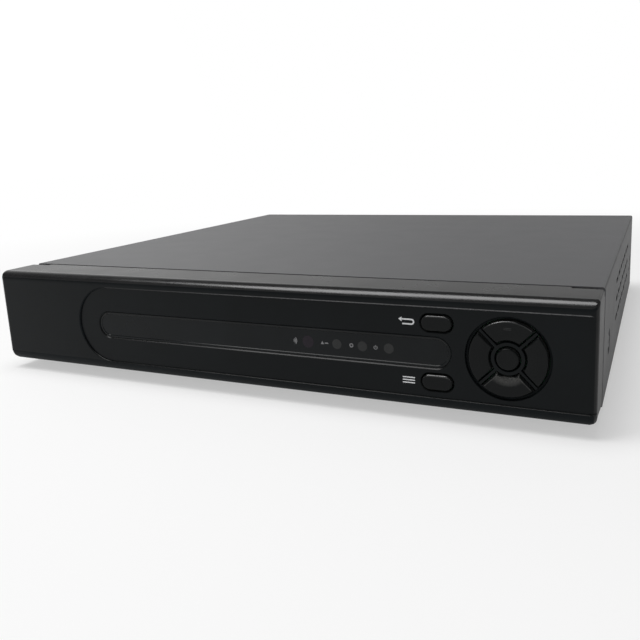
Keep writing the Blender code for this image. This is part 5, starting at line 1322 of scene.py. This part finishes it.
case_places = screw_places(SIDE_SCREWS) + screw_places(REAR_SCREWS + BEZEL_SCREWS, BACKWARD)
case_screws = set_out("case_screws", screw_piece(CASE_SHANK), case_places, black_zinc)
dress(case_screws, ROOT, "screw_steel", *SIDE_SCREWS, *REAR_SCREWS, *BEZEL_SCREWS)
drive_places = screw_places(DRIVE_SCREWS, DOWNWARD)
drive_screws = set_out("drive_screws", screw_piece(DRIVE_SHANK), drive_places, black_zinc)
dress(drive_screws, ROOT, "screw_steel", *DRIVE_SCREWS)

# %% Feet
FEET = [f"{end}_{side}_foot" for end in ("front", "rear") for side in ("left", "right")]
FOOT_RADIUS, FOOT_TAPER, FOOT_ROUND = 0.009, 0.0012, 0.0006
FOOT_TALL = box_of(FEET[0])[1].z
HOLLOW_MOUTH, HOLLOW_FLOOR, HOLLOW_DEPTH = 0.0046, 0.0040, 0.0010

base = FOOT_RADIUS - FOOT_TAPER
rim = [(base - FOOT_ROUND * (1 - math.sin(a)), FOOT_ROUND * (1 - math.cos(a))) for a in reversed(quarter())]
profile = [(0, FOOT_TALL), (FOOT_RADIUS, FOOT_TALL), *rim]
profile += [(HOLLOW_MOUTH, 0.0), (HOLLOW_FLOOR, HOLLOW_DEPTH), (0, HOLLOW_DEPTH)]
foot = make("foot", turned_solid(profile))
foot_places = [(Vector((middle_of(node).x, middle_of(node).y, 0)), (0, 0, 1)) for node in FEET]
dress(set_out("rubber_feet", foot, foot_places, foot_rubber), ROOT, "rubber", *FEET)

# %% [markdown]
# ## The rear sockets
#
# Sockets are made of several materials: plated shells, plastic bodies and small contacts. The frame's
# sockets keep their place and outer size, and new pieces stand for them, one per material. The four
# video sockets are alike, so the point tree sets out their shells, their insulators and their contacts.

# %% Video sockets: shells and lugs
BNC = [f"bnc_socket_{number}" for number in (1, 2, 3, 4)]
BNC_RISE = 0.0095
REACH = box_of(BNC[0])[1].y - PANEL_Y
BEHIND = -0.0013
BARREL, BORE, MOUTH_EDGE = 0.0048, 0.0036, 0.0003
COLLAR, COLLAR_FACE = 0.0062, 0.0004
THREAD_TURNS, THREAD_TOP, THREAD_PITCH = 4, 0.0042, 0.0009
CREST_RADIUS, CREST_START, CREST_END = BARREL + 0.0007, 0.00025, 0.0005
VALLEY_RADIUS = BARREL + 0.0001
LUG_RADIUS, LUG_EDGE, LUG_TOP, LUG_LOW, LUG_DROP = 0.0010, 0.0002, 0.0009, -0.0012, 0.004


def bnc_shell():
    """A barrel with a rounded mouth, a thread below it and a collar against the panel."""
    profile = [(BORE, COLLAR_FACE), (BORE, REACH - MOUTH_EDGE), (BORE + MOUTH_EDGE, REACH)]
    profile += [*as_profile(rounded_edge(REACH, BARREL, MOUTH_EDGE)), (BARREL, THREAD_TOP)]
    for i in range(THREAD_TURNS):
        z = THREAD_TOP - i * THREAD_PITCH
        profile += [(CREST_RADIUS, z - CREST_START), (CREST_RADIUS, z - CREST_END)]
        profile += [(VALLEY_RADIUS, z - THREAD_PITCH)]
    profile += [(COLLAR, COLLAR_FACE), (COLLAR, BEHIND), (BORE, BEHIND)]
    return turned_solid(profile, steps=40, closed=True)


at_bnc = [(Vector((middle_of(node).x, PANEL_Y, box_of(node)[0].z + BNC_RISE)), BACKWARD) for node in BNC]
dress(set_out("bnc_shells", make("shell", bnc_shell()), at_bnc, nickel), ROOT, "nickel", *BNC)
lug = [(0, LUG_TOP), (LUG_RADIUS - LUG_EDGE, LUG_TOP), (LUG_RADIUS, LUG_TOP - LUG_EDGE)]
lug += [(LUG_RADIUS, LUG_LOW), (0, LUG_LOW)]
at_lugs = []
for place, facing in at_bnc:
    for side in (1, -1):
        at_lugs.append((place + Vector((0, REACH - LUG_DROP, side * BARREL)), Vector((0, 0, side))))
dress(set_out("bnc_lugs", make("lug", turned_solid(lug, steps=16)), at_lugs, nickel), ROOT, "nickel")

# %% Video sockets: insulators, contacts and blocks
FIT = 0.0001
PIN_HOLE, NOSE_RADIUS, NOSE_DROP, SHOULDER_DROP = 0.0012, 0.0026, 0.0055, 0.0065
PIN_RADIUS, PIN_TIP, PIN_DROP, PIN_TAPER = 0.0011, 0.0008, 0.0045, 0.0005
BNC_BODY, BNC_DEPTH, BNC_EDGE = 0.0145, 0.012, 0.0004

profile = [(PIN_HOLE, REACH - NOSE_DROP), (NOSE_RADIUS, REACH - NOSE_DROP)]
profile += [(BORE - FIT, REACH - SHOULDER_DROP), (BORE - FIT, 0), (PIN_HOLE, 0)]
insulator = make("insulator", turned_solid(profile, steps=32, closed=True))
dress(set_out("bnc_insulators", insulator, at_bnc, white_plastic), ROOT, "socket_plastic")
profile = [(0, REACH - PIN_DROP), (PIN_TIP, REACH - PIN_DROP), (PIN_RADIUS, REACH - PIN_DROP - PIN_TAPER)]
pin = make("pin", turned_solid([*profile, (PIN_RADIUS, 0), (0, 0)], steps=20))
dress(set_out("bnc_contacts", pin, at_bnc, gold), ROOT, "nickel")
half = BNC_BODY / 2
body = box_solid(((-half, -BNC_RISE, BEHIND - BNC_DEPTH), (half, BNC_BODY - BNC_RISE, BEHIND)))
block = bevel(make("block", body), BNC_EDGE, segments=3)
dress(set_out("bnc_blocks", block, at_bnc, socket_plastic), ROOT, "socket_plastic")

# %% [markdown]
# The other sockets are all different, but they share a few forms. A plated strip bent along a line makes
# a contact, an outline with rounded corners lofted through a few levels makes a shell, and rows of equal
# contacts and holes come from the point tree. Each piece is drawn in the frame of its socket: x to the
# right as seen from behind, y up from its foot and z out of the panel.

# %% Tools for sockets
SOCKET_FACE = 0.0006
SOCKET_DEPTH = 0.011
SHELL = 0.0006
PROUD = 0.0002


def at_socket(node):
    return on_rear(middle_of(node).x, box_of(node)[0].z)


def along(count, pitch):
    """Evenly spaced places on both sides of zero."""
    return [(i - (count - 1) / 2) * pitch for i in range(count)]


def strip_solid(line, width, thickness):
    """A strip bent along a line of (y, z) points."""
    section = bar(-width / 2, -thickness / 2, width / 2, thickness / 2)
    return loft([(z, moved(section, 0, y)) for y, z in line])


def row_of(node, source, places, name, material):
    """Copies of a piece at local places on a socket, from the point tree."""
    frame_at = at_socket(node)
    return set_out(name, source, [(frame_at @ Vector(place), BACKWARD) for place in places], material)


def socket_blocks(node, boxes, name, material, edge):
    """Blocks with fine bevelled edges in the frame of a socket."""
    return bevel(make(name, box_solid(*boxes), material, at_socket(node)), edge)


# %% [markdown]
# The network socket is an open shell. A lining narrows its mouth for the tab of a plug, eight sprung
# contacts slope down from its roof, and two lamps sit above it.

# %% Network socket
PORT_WIDTH, PORT_LOW, PORT_HIGH = 0.0117, 0.00255, 0.01095
PORT_DEPTH, PORT_ROOF, PORT_FLOOR, PORT_REAR = 0.012, 0.0005, -0.0115, -0.0124
TAB_HALF, TAB_TOP = 0.0031, 0.0043
LINING_EDGE = 0.00015
SPRING_LINE = [(0.0, 0.0), (0.0002, -0.0010), (0.0034, -0.0098)]
SPRING_WIDTH, SPRING_THICK = 0.0005, 0.00025
SPRINGS, SPRING_PITCH, SPRING_DROP, SPRING_SINK = 8, 0.00102, 0.0008, 0.0012
LAMP_X, LAMP_HALF, LAMP_LOW, LAMP_HIGH = 0.0058, 0.0014, 0.0115, 0.0129
LAMP_FACE, LAMP_EDGE = SOCKET_FACE + PROUD, 0.0002

half = PORT_WIDTH / 2
sides = ((-half, -TAB_HALF), (TAB_HALF, half))
boxes = [((low, PORT_LOW, -PORT_DEPTH), (high, TAB_TOP, PROUD)) for low, high in sides]
boxes.append(((-half, PORT_LOW, PORT_REAR), (half, PORT_HIGH, PORT_FLOOR)))
boxes.append(((-half, PORT_HIGH - PORT_ROOF, -PORT_DEPTH), (half, PORT_HIGH, PROUD)))
lining = socket_blocks("lan_socket", boxes, "network_lining", socket_plastic, LINING_EDGE)
dress(lining, ROOT, "socket_plastic")
spring = make("spring", strip_solid(SPRING_LINE, SPRING_WIDTH, SPRING_THICK))
places = [(x, PORT_HIGH - SPRING_DROP, -SPRING_SINK) for x in along(SPRINGS, SPRING_PITCH)]
dress(row_of("lan_socket", spring, places, "network_contacts", gold), ROOT, "nickel")
boxes = [((x - LAMP_HALF, LAMP_LOW, 0), (x + LAMP_HALF, LAMP_HIGH, LAMP_FACE)) for x in (-LAMP_X, LAMP_X)]
dress(socket_blocks("lan_socket", boxes, "network_lamps", lamp_plastic, LAMP_EDGE), ROOT, "guide_plastic")

# %% [markdown]
# The USB and HDMI shells hold flat tongues with contacts on one side: below the USB tongues, where a
# plug's own contacts press up, and on top of the HDMI one. Two wedges close the lower corners of the
# HDMI shell.

# %% USB sockets
TONGUE_RISE, TONGUE_EDGE = 0.0008, 0.0002
SHELL_FLOOR = -0.0082
USB_ROWS = (0.00395, 0.01185)
USB_HALF = 0.0046
USB_LINE = [(0, 0.0), (0.0002, -0.0006), (0.0, -0.0070)]
USB_WIDTH, USB_THICK = 0.0010, 0.0002
USB_STRIPS, USB_PITCH, USB_DROP, USB_SINK = 4, 0.0021, 0.0009, 0.0006


def tongue_box(half, y):
    return (-half, y - TONGUE_RISE, SHELL_FLOOR), (half, y + TONGUE_RISE, PROUD)


boxes = [tongue_box(USB_HALF, y) for y in USB_ROWS]
dress(socket_blocks("usb_socket", boxes, "usb_tongues", white_plastic, TONGUE_EDGE), ROOT, "socket_plastic")
strip = make("strip", strip_solid(USB_LINE, USB_WIDTH, USB_THICK))
places = [(x, y - USB_DROP, -USB_SINK) for y in USB_ROWS for x in along(USB_STRIPS, USB_PITCH)]
dress(row_of("usb_socket", strip, places, "usb_contacts", gold), ROOT, "nickel")

# %% HDMI socket
HDMI_MIDDLE, HDMI_HALF = 0.0031, 0.0049
HDMI_LINE = [(0, 0.0), (0.0001, -0.0005), (0.0, -0.0070)]
HDMI_WIDTH, HDMI_THICK = 0.00045, 0.00015
HDMI_STRIPS, HDMI_PITCH, HDMI_SINK = 10, 0.00092, 0.0004
WEDGE_X, WEDGE_WIDTH, WEDGE_RISE = 0.0070, 0.0024, 0.0020

boxes = [tongue_box(HDMI_HALF, HDMI_MIDDLE)]
hdmi_tongue = socket_blocks("hdmi_socket", boxes, "hdmi_tongue", socket_plastic, TONGUE_EDGE)
dress(hdmi_tongue, ROOT, "socket_plastic")
strip = make("strip", strip_solid(HDMI_LINE, HDMI_WIDTH, HDMI_THICK))
places = [(x, HDMI_MIDDLE + TONGUE_RISE, -HDMI_SINK) for x in along(HDMI_STRIPS, HDMI_PITCH)]
dress(row_of("hdmi_socket", strip, places, "hdmi_contacts", gold), ROOT, "nickel")
wedge = [(WEDGE_X, SHELL), (WEDGE_X - WEDGE_WIDTH, SHELL), (WEDGE_X, SHELL + WEDGE_RISE)]
outlines = [[(side * x, y) for x, y in wedge] for side in (1, -1)]
wedges = prisms(outlines, SHELL_FLOOR, SOCKET_FACE - FIT)
dress(make("hdmi_corners", wedges, nickel, at_socket("hdmi_socket")), ROOT, "nickel")

# %% [markdown]
# The VGA shell is a D with rounded corners, wider at the top. The same outline drawn in by an inset
# gives its lip, its inside and the blue insert, which has three rows of five holes. A threaded post
# stands on each side.

# %% VGA socket: shell, insert and block
VGA_TALL, VGA_HALF, VGA_RISE, VGA_LEAN, VGA_ROUND = 0.0125, 0.00845, 0.00415, 0.0014, 0.0018
VGA_REACH, VGA_WALL, VGA_BLOCK = 0.0055, 0.0005, 0.0155
OUTER_EDGE, INNER_EDGE, INNER_DROP = 0.0002, 0.0001, 0.0003
INSERT_FACE = VGA_REACH - 0.0009
HOLE_RADIUS, HOLE_TOP, HOLE_FLOOR = 0.0005, 0.002, -0.003
HOLES_IN_ROW, HOLE_PITCH, ROW_PITCH, ROW_SHIFT = 5, 0.00229, 0.00198, 0.00057
BLOCK_EDGE = 0.0003


def rounded_outline(corners, radius, steps=6):
    """A closed outline whose corners are arcs of a radius."""
    points = []
    for i, corner in enumerate(corners):
        here = Vector(corner)
        before = (Vector(corners[i - 1]) - here).normalized()
        after = (Vector(corners[(i + 1) % len(corners)]) - here).normalized()
        half = before.angle(after) / 2
        middle = here + (before + after).normalized() * radius / math.sin(half)
        start = here + before * radius / math.tan(half) - middle
        end = here + after * radius / math.tan(half) - middle
        points += [middle + start.slerp(end, k / steps) * radius for k in range(steps + 1)]
    return points


def d_outline(inset):
    """The outline of the shell, wider at the top, drawn in by an inset."""
    wide, tall = VGA_HALF - inset, VGA_RISE - inset
    corners = [(wide, tall), (-wide, tall), (-wide + VGA_LEAN, -tall), (wide - VGA_LEAN, -tall)]
    return [(p.x, p.y + VGA_TALL / 2) for p in rounded_outline(corners, VGA_ROUND - inset)]


vga_at = at_socket("vga_socket")
sections = [(BEHIND, 0), (VGA_REACH - OUTER_EDGE, 0), (VGA_REACH, OUTER_EDGE)]
sections += [(VGA_REACH, VGA_WALL - INNER_EDGE), (VGA_REACH - INNER_DROP, VGA_WALL), (BEHIND, VGA_WALL)]
vga_shell = loft([(height, d_outline(inset)) for height, inset in sections], closed=True)
dress(make("vga_shell", vga_shell, nickel, vga_at), ROOT, "nickel", "vga_socket")
filling = d_outline(VGA_WALL + FIT)
insert = make("vga_insert", loft([(BEHIND, filling), (INSERT_FACE, filling)]), blue_plastic, vga_at)
hole = make("hole", turned_solid(square_section(0, HOLE_RADIUS, HOLE_TOP, HOLE_FLOOR), steps=12))
places = []
for row, shift in ((1, 0.0), (0, ROW_SHIFT), (-1, 0.0)):
    y = VGA_TALL / 2 + row * ROW_PITCH
    places += [(x + shift, y, INSERT_FACE) for x in along(HOLES_IN_ROW, HOLE_PITCH)]
boolean(insert, "DIFFERENCE", row_of("vga_socket", hole, places, "vga_holes", blue_plastic))
smooth(insert.data)
dress(insert, ROOT, "socket_plastic")
boxes = [((-VGA_BLOCK, 0, BEHIND - SOCKET_DEPTH), (VGA_BLOCK, VGA_TALL, BEHIND))]
dress(socket_blocks("vga_socket", boxes, "vga_block", socket_plastic, BLOCK_EDGE), ROOT, "socket_plastic")

# %% VGA socket: posts
POST_X, POST_RADIUS, POST_REACH = 0.0125, 0.0027, 0.0050
POST_EDGE, POST_TIP = 0.0005, 0.84
POST_BORE, POST_FLOOR, POST_OPEN = 0.0014, 0.0012, 2 * PAST


def hexagon(radius):
    return [(radius * math.cos(math.pi * i / 3), radius * math.sin(math.pi * i / 3)) for i in range(6)]


sections = [(BEHIND, POST_RADIUS), (POST_REACH - POST_EDGE, POST_RADIUS)]
sections.append((POST_REACH, POST_RADIUS * POST_TIP))
post = make("post", loft([(height, hexagon(radius)) for height, radius in sections]))
bore = turned_solid(square_section(0, POST_BORE, POST_OPEN, POST_FLOOR), steps=20)
boolean(post, "DIFFERENCE", make("bore", bore))
places = [(side * POST_X, VGA_TALL / 2, 0) for side in (1, -1)]
dress(row_of("vga_socket", post, places, "vga_posts", nickel), ROOT, "nickel")

# %% [markdown]
# The audio pair has two plated barrels, each with a coloured lining and collar. The power inlet gets its
# pin and a sprung sleeve, and the terminal block its slotted screws and its clamps.

# %% Audio pair
AUDIO_ROWS = {"audio_ring_low": (0.00625, red_plastic), "audio_ring_high": (0.01875, white_plastic)}
AUDIO_REACH, AUDIO_BARREL, AUDIO_BORE = 0.0085, 0.0042, 0.0033
AUDIO_HALF, AUDIO_TALL = 0.0055, 0.025
LINING_HOLE, LINING_DROP = 0.0016, 0.0008
RIM_RADIUS, RIM_FACE, RIM_EDGE = 0.0053, 0.0015, 0.0003

profile = [(AUDIO_BORE, 0), (AUDIO_BORE, AUDIO_REACH - MOUTH_EDGE), (AUDIO_BORE + MOUTH_EDGE, AUDIO_REACH)]
profile += as_profile(rounded_edge(AUDIO_REACH, AUDIO_BARREL, MOUTH_EDGE))
profile += [(AUDIO_BARREL, BEHIND), (AUDIO_BORE, BEHIND)]
barrel = make("barrel", turned_solid(profile, steps=40, closed=True))
places = [(0, y, 0) for y, colour in AUDIO_ROWS.values()]
dress(row_of("audio_socket", barrel, places, "audio_barrels", nickel), ROOT, "nickel", "audio_socket")
lining = square_section(LINING_HOLE, AUDIO_BORE - FIT, AUDIO_REACH - LINING_DROP, BEHIND)
collar = [(AUDIO_BARREL + FIT, RIM_FACE), (RIM_RADIUS - RIM_EDGE, RIM_FACE)]
collar += [(RIM_RADIUS, RIM_FACE - RIM_EDGE), (RIM_RADIUS, FIT), (AUDIO_BARREL + FIT, FIT)]
for name, (y, colour) in AUDIO_ROWS.items():
    ring = make(name, turned_solid(lining, steps=40, closed=True), colour)
    boolean(ring, "UNION", make("collar", turned_solid(collar, steps=40, closed=True)))
    ring.data.transform(at_socket("audio_socket") @ Matrix.Translation((0, y, 0)))
    smooth(ring.data)
    dress(ring, ROOT, "socket_plastic")
boxes = [((-AUDIO_HALF, 0, BEHIND - SOCKET_DEPTH), (AUDIO_HALF, AUDIO_TALL, BEHIND))]
audio_block = socket_blocks("audio_socket", boxes, "audio_block", socket_plastic, BLOCK_EDGE)
dress(audio_block, ROOT, "socket_plastic")

# %% Power inlet
INLET_FLOOR = BEHIND - 0.0088
INLET_PIN, INLET_TIP, INLET_ROUND = 0.00105, -0.0016, 0.0005
SLEEVE_INNER, SLEEVE_OUTER = 0.0029, 0.0031
SLEEVE_FACE, SLEEVE_EDGE = BEHIND - 0.0016, 0.0004

inlet_at = on_rear(middle_of("power_inlet").x, middle_of("power_inlet").z)
profile = [(0, INLET_TIP), *as_profile(rounded_edge(INLET_TIP, INLET_PIN, INLET_ROUND))]
pin = turned_solid([*profile, (INLET_PIN, INLET_FLOOR), (0, INLET_FLOOR)], steps=20)
dress(make("inlet_pin", pin, nickel, inlet_at), ROOT, "nickel")
profile = [(SLEEVE_INNER, SLEEVE_FACE - SLEEVE_EDGE), (SLEEVE_OUTER, SLEEVE_FACE)]
profile += [(SLEEVE_OUTER, INLET_FLOOR), (SLEEVE_INNER, INLET_FLOOR)]
sleeve = turned_solid(profile, steps=32, closed=True)
dress(make("inlet_sleeve", sleeve, nickel, inlet_at), ROOT, "nickel")

# %% Terminal block
TERMINALS, TERMINAL_PITCH = 4, 0.0040
SLOTTED_RADIUS, SLOTTED_TOP, SLOTTED_LOW, SLOTTED_ROUND = 0.0012, 0.0005, -0.0004, 0.0003
SLIT_LENGTH, SLIT_WIDTH, SLIT_FLOOR = 0.004, 0.00036, 0.0001
CLAMP_LINE = [(0, 0.0), (-0.0003, -0.0008), (0.0004, -0.0045)]
CLAMP_WIDTH, CLAMP_THICK = 0.0021, 0.0003
SLOTTED_RISE, CLAMP_RISE, CLAMP_SINK = 0.0074, 0.0037, 0.0006

profile = [(0, SLOTTED_TOP), *as_profile(rounded_edge(SLOTTED_TOP, SLOTTED_RADIUS, SLOTTED_ROUND))]
head = make("head", turned_solid([*profile, (SLOTTED_RADIUS, SLOTTED_LOW), (0, SLOTTED_LOW)], steps=24))
slit = box_solid(((-SLIT_LENGTH / 2, -SLIT_WIDTH / 2, SLIT_FLOOR), (SLIT_LENGTH / 2, SLIT_WIDTH / 2, PAST)))
boolean(head, "DIFFERENCE", make("slit", slit))
places = [(x, SLOTTED_RISE, SOCKET_FACE) for x in along(TERMINALS, TERMINAL_PITCH)]
dress(row_of("terminal_block", head, places, "terminal_screws", nickel), ROOT, "nickel")
clamp = make("clamp", strip_solid(CLAMP_LINE, CLAMP_WIDTH, CLAMP_THICK))
places = [(x, CLAMP_RISE, -CLAMP_SINK) for x in along(TERMINALS, TERMINAL_PITCH)]
dress(row_of("terminal_block", clamp, places, "terminal_clamps", nickel), ROOT, "nickel")

# %% [markdown]
# ## The fan
#
# A small axial fan blows out through the grille in the rear panel. Its blades are cambered and twisted
# sheets. One blade is drawn as a grid on a helix and thickened, and the circle tree sets seven round the
# hub.

# %% Fan blades
BLADES = 7
BLADE_ROOT, BLADE_TIP = 0.0100, 0.0177
BLADE_SPAN, BLADE_LEAN = math.radians(46), math.radians(14)
BLADE_MARGIN, BLADE_CAMBER, BLADE_THICK = 0.0007, 1.3, 0.0008
fan_low, fan_high = box_of("fan_rotor")
ROTOR_DEPTH = 0.0064
ROTOR_TOP = fan_high.y - PANEL_Y
ROTOR_LOW = ROTOR_TOP - ROTOR_DEPTH


def blade_sheet(across=8, steps=14):
    """A sheet that climbs along a helix, and leans back from root to tip."""
    bm = bmesh.new()
    rows = []
    for i in range(across + 1):
        radius = BLADE_ROOT + (BLADE_TIP - BLADE_ROOT) * i / across
        row = []
        for j in range(steps + 1):
            share = j / steps
            angle = (share - 0.5) * BLADE_SPAN + BLADE_LEAN * i / across
            height = ROTOR_LOW + BLADE_MARGIN + (ROTOR_DEPTH - 2 * BLADE_MARGIN) * share**BLADE_CAMBER
            row.append(bm.verts.new((radius * math.cos(angle), radius * math.sin(angle), height)))
        rows.append(row)
    weave(bm, rows)
    return bm


blade = alter(make("blade", blade_sheet()), "SOLIDIFY", thickness=BLADE_THICK, offset=0.0)
fan_at = on_rear(middle_of("fan_rotor").x, middle_of("fan_rotor").z)
blades = stand("fan_blades", bpy.data.meshes.new("fan_blades"))
run_tree(blades, CIRCLE_TREE, blade, Count=BLADES, Piece=blade, Finish=socket_plastic)
blades.data.transform(fan_at)
smooth(blades.data)
dress(blades, "fan_rotor", "socket_plastic")

# %% Fan hub
HUB_RADIUS, HUB_ROUND = 0.0105, 0.0008
HUB_DISH, HUB_RING, DISH_DROP = 0.0080, 0.0083, 0.0003
SHAFT_RADIUS, SHAFT_END = 0.0015, fan_low.y - PANEL_Y

profile = [(0, ROTOR_TOP - DISH_DROP), (HUB_DISH, ROTOR_TOP - DISH_DROP), (HUB_RING, ROTOR_TOP)]
profile += [*as_profile(rounded_edge(ROTOR_TOP, HUB_RADIUS, HUB_ROUND)), (HUB_RADIUS, ROTOR_LOW)]
profile += [(SHAFT_RADIUS, ROTOR_LOW), (SHAFT_RADIUS, SHAFT_END), (0, SHAFT_END)]
hub = make("fan_hub", turned_solid(profile, steps=64), socket_plastic, fan_at)
dress(hub, "fan_rotor", "socket_plastic", "fan_rotor")

# %% [markdown]
# ## The frame's own pieces
#
# The tray, the boards, the drive and the plain shells of some sockets keep the shape that the frame
# gives them, so they only take a finish. A dictionary lists them by finish.

# %% Finishes for the frame's own pieces
KEY_NAMES = ("esc", "menu", "nav_up", "nav_left", "nav_down", "nav_right", "ok")
KEPT = {
    tray_coat: ["chassis_base"],
    board_green: ["main_board", "keypad_board"],
    aluminium: ["processor_heatsink", "hard_drive"],
    nickel: ["clock_battery", "hdmi_socket", "usb_socket", "lan_socket"],
    socket_plastic: ["power_inlet", "fan_frame"],
    green_plastic: ["terminal_block"],
    cable_skin: ["drive_cable", "keypad_cable"],
    guide_plastic: LIGHT_GUIDES,
    receiver_plastic: ["ir_receiver"],
    switch_plastic: [name + "_switch" for name in KEY_NAMES],
}
for material, nodes in KEPT.items():
    for node in nodes:
        for material_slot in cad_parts[node].material_slots:
            material_slot.material = material
print("kept nodes:", sum(len(nodes) for nodes in KEPT.values()))

# %% [markdown]
# ## The studio
#
# The recorder stands on a plain white floor that runs into a white room. On black gloss, what a surface
# mirrors matters more than what lights it, so the room is drawn for its reflections. A bright band lies
# round the horizon, which greys the top and the side, because they are seen almost edge on. Above it the
# room is dim, so the bullnose starts with a dark line, and one large soft panel overhead draws the long
# highlight below that line.

# %% Floor
FLOOR_SIZE = 6.0
FLOOR_WHITE, FLOOR_ROUGH = (0.92, 0.92, 0.92), 0.9
NEAR_FLOOR, FAR_FLOOR, NEAR_SHARE = 0.22, 0.75, 0.45


def floor_paint():
    """White paint near the recorder, which keeps the shadow, and a white backdrop further out."""
    paint, tree = new_paint("floor_paint")
    looks = {"Base Color": opaque(FLOOR_WHITE), "Roughness": FLOOR_ROUGH, "Specular IOR Level": 0.0}
    shader = set_shader(tree, looks)
    away = add_node(tree, "ShaderNodeVectorMath", {0: coordinates(tree)}, operation="LENGTH")
    fade = map_range(tree, away.outputs["Value"], NEAR_FLOOR, FAR_FLOOR, low=NEAR_SHARE, kind="SMOOTHSTEP")
    rays = add_node(tree, "ShaderNodeLightPath").outputs
    seen = maths(tree, "ADD", rays["Is Camera Ray"], rays["Is Glossy Ray"])
    seen = maths(tree, "MINIMUM", maths(tree, "ADD", seen, rays["Is Transmission Ray"]), 1.0)
    white = add_node(tree, "ShaderNodeEmission", {"Strength": 1.0})
    factor = maths(tree, "MULTIPLY", seen, fade)
    inputs = {0: factor, 1: shader.outputs["BSDF"], 2: white.outputs["Emission"]}
    mix = add_node(tree, "ShaderNodeMixShader", inputs)
    feed(tree, mix.outputs["Shader"], tree.nodes["Material Output"].inputs["Surface"])
    return paint


half = FLOOR_SIZE / 2
floor_mesh = bpy.data.meshes.new("floor")
floor_mesh.from_pydata([(x, y, 0) for x, y in bar(-half, -half, half, half)], [], [(0, 1, 2, 3)])
floor_mesh.materials.append(floor_paint())
floor = stand("floor", floor_mesh)
print("floor:", FLOOR_SIZE, "m square")

# %% The soft panel overhead
PANEL_PLACE = (-0.38, -0.32, 1.30)
PANEL_TURN = math.radians(32)
PANEL_SIZE = (1.3, 0.60)
PANEL_POWER = 16.5

light = bpy.data.lights.new("ceiling_panel", "AREA")
light.shape = "RECTANGLE"
light.size, light.size_y = PANEL_SIZE
light.energy = PANEL_POWER
lamp = stand("ceiling_panel", light)
lamp.matrix_world = Matrix.Translation(PANEL_PLACE) @ Matrix.Rotation(PANEL_TURN, 4, "Z")
print("panel:", PANEL_SIZE, "m,", PANEL_POWER, "W")

# %% [markdown]
# The room is a World whose brightness depends only on the way a ray goes. A dot product with a direction
# tells how far a ray turns towards it, and a smooth Map Range makes that a soft edge. The band, a
# brighter wall on the left and one behind the camera are put together with a few Math nodes.

# %% The room
SKY_WAY = Vector((0.0, 0.0, 1.0))
BAND_TOP, BAND_END = 0.195, 0.25
WALL_TOP, WALL_END = 0.55, 0.80
LEFT_WAY, LEFT_START, LEFT_FULL = Vector((-0.85, 0.52, 0.0)), 0.65, 1.0
CAMERA_WAY, CAMERA_START, CAMERA_FULL = Vector((0.0, -1.0, 0.0)), 0.3, 0.9
DIM, LEFT_GAIN, CAMERA_GAIN = 0.15, 1.0, 0.45

room = bpy.data.worlds.new("white_room")
scene.world = room
room.use_nodes = True
tree = room.node_tree
way = coordinates(tree, "Generated")


def towards(direction, low, high):
    """Rises smoothly from 0 to 1 as a ray turns towards a direction."""
    dot = add_node(tree, "ShaderNodeVectorMath", {0: way, 1: direction}, operation="DOT_PRODUCT")
    return map_range(tree, dot.outputs["Value"], low, high, kind="SMOOTHSTEP")


band = maths(tree, "SUBTRACT", 1.0, towards(SKY_WAY, BAND_TOP, BAND_END))
wall = maths(tree, "SUBTRACT", 1.0, towards(SKY_WAY, WALL_TOP, WALL_END))
left = maths(tree, "MULTIPLY", towards(LEFT_WAY, LEFT_START, LEFT_FULL), LEFT_GAIN)
behind = maths(tree, "MULTIPLY", towards(CAMERA_WAY, CAMERA_START, CAMERA_FULL), CAMERA_GAIN)
walls = maths(tree, "MULTIPLY_ADD", wall, maths(tree, "ADD", left, behind), DIM)
backdrop = tree.nodes["Background"].inputs
feed(tree, opaque((1, 1, 1)), backdrop["Color"])
feed(tree, maths(tree, "MAXIMUM", band, walls), backdrop["Strength"])
print("room nodes:", len(tree.nodes))
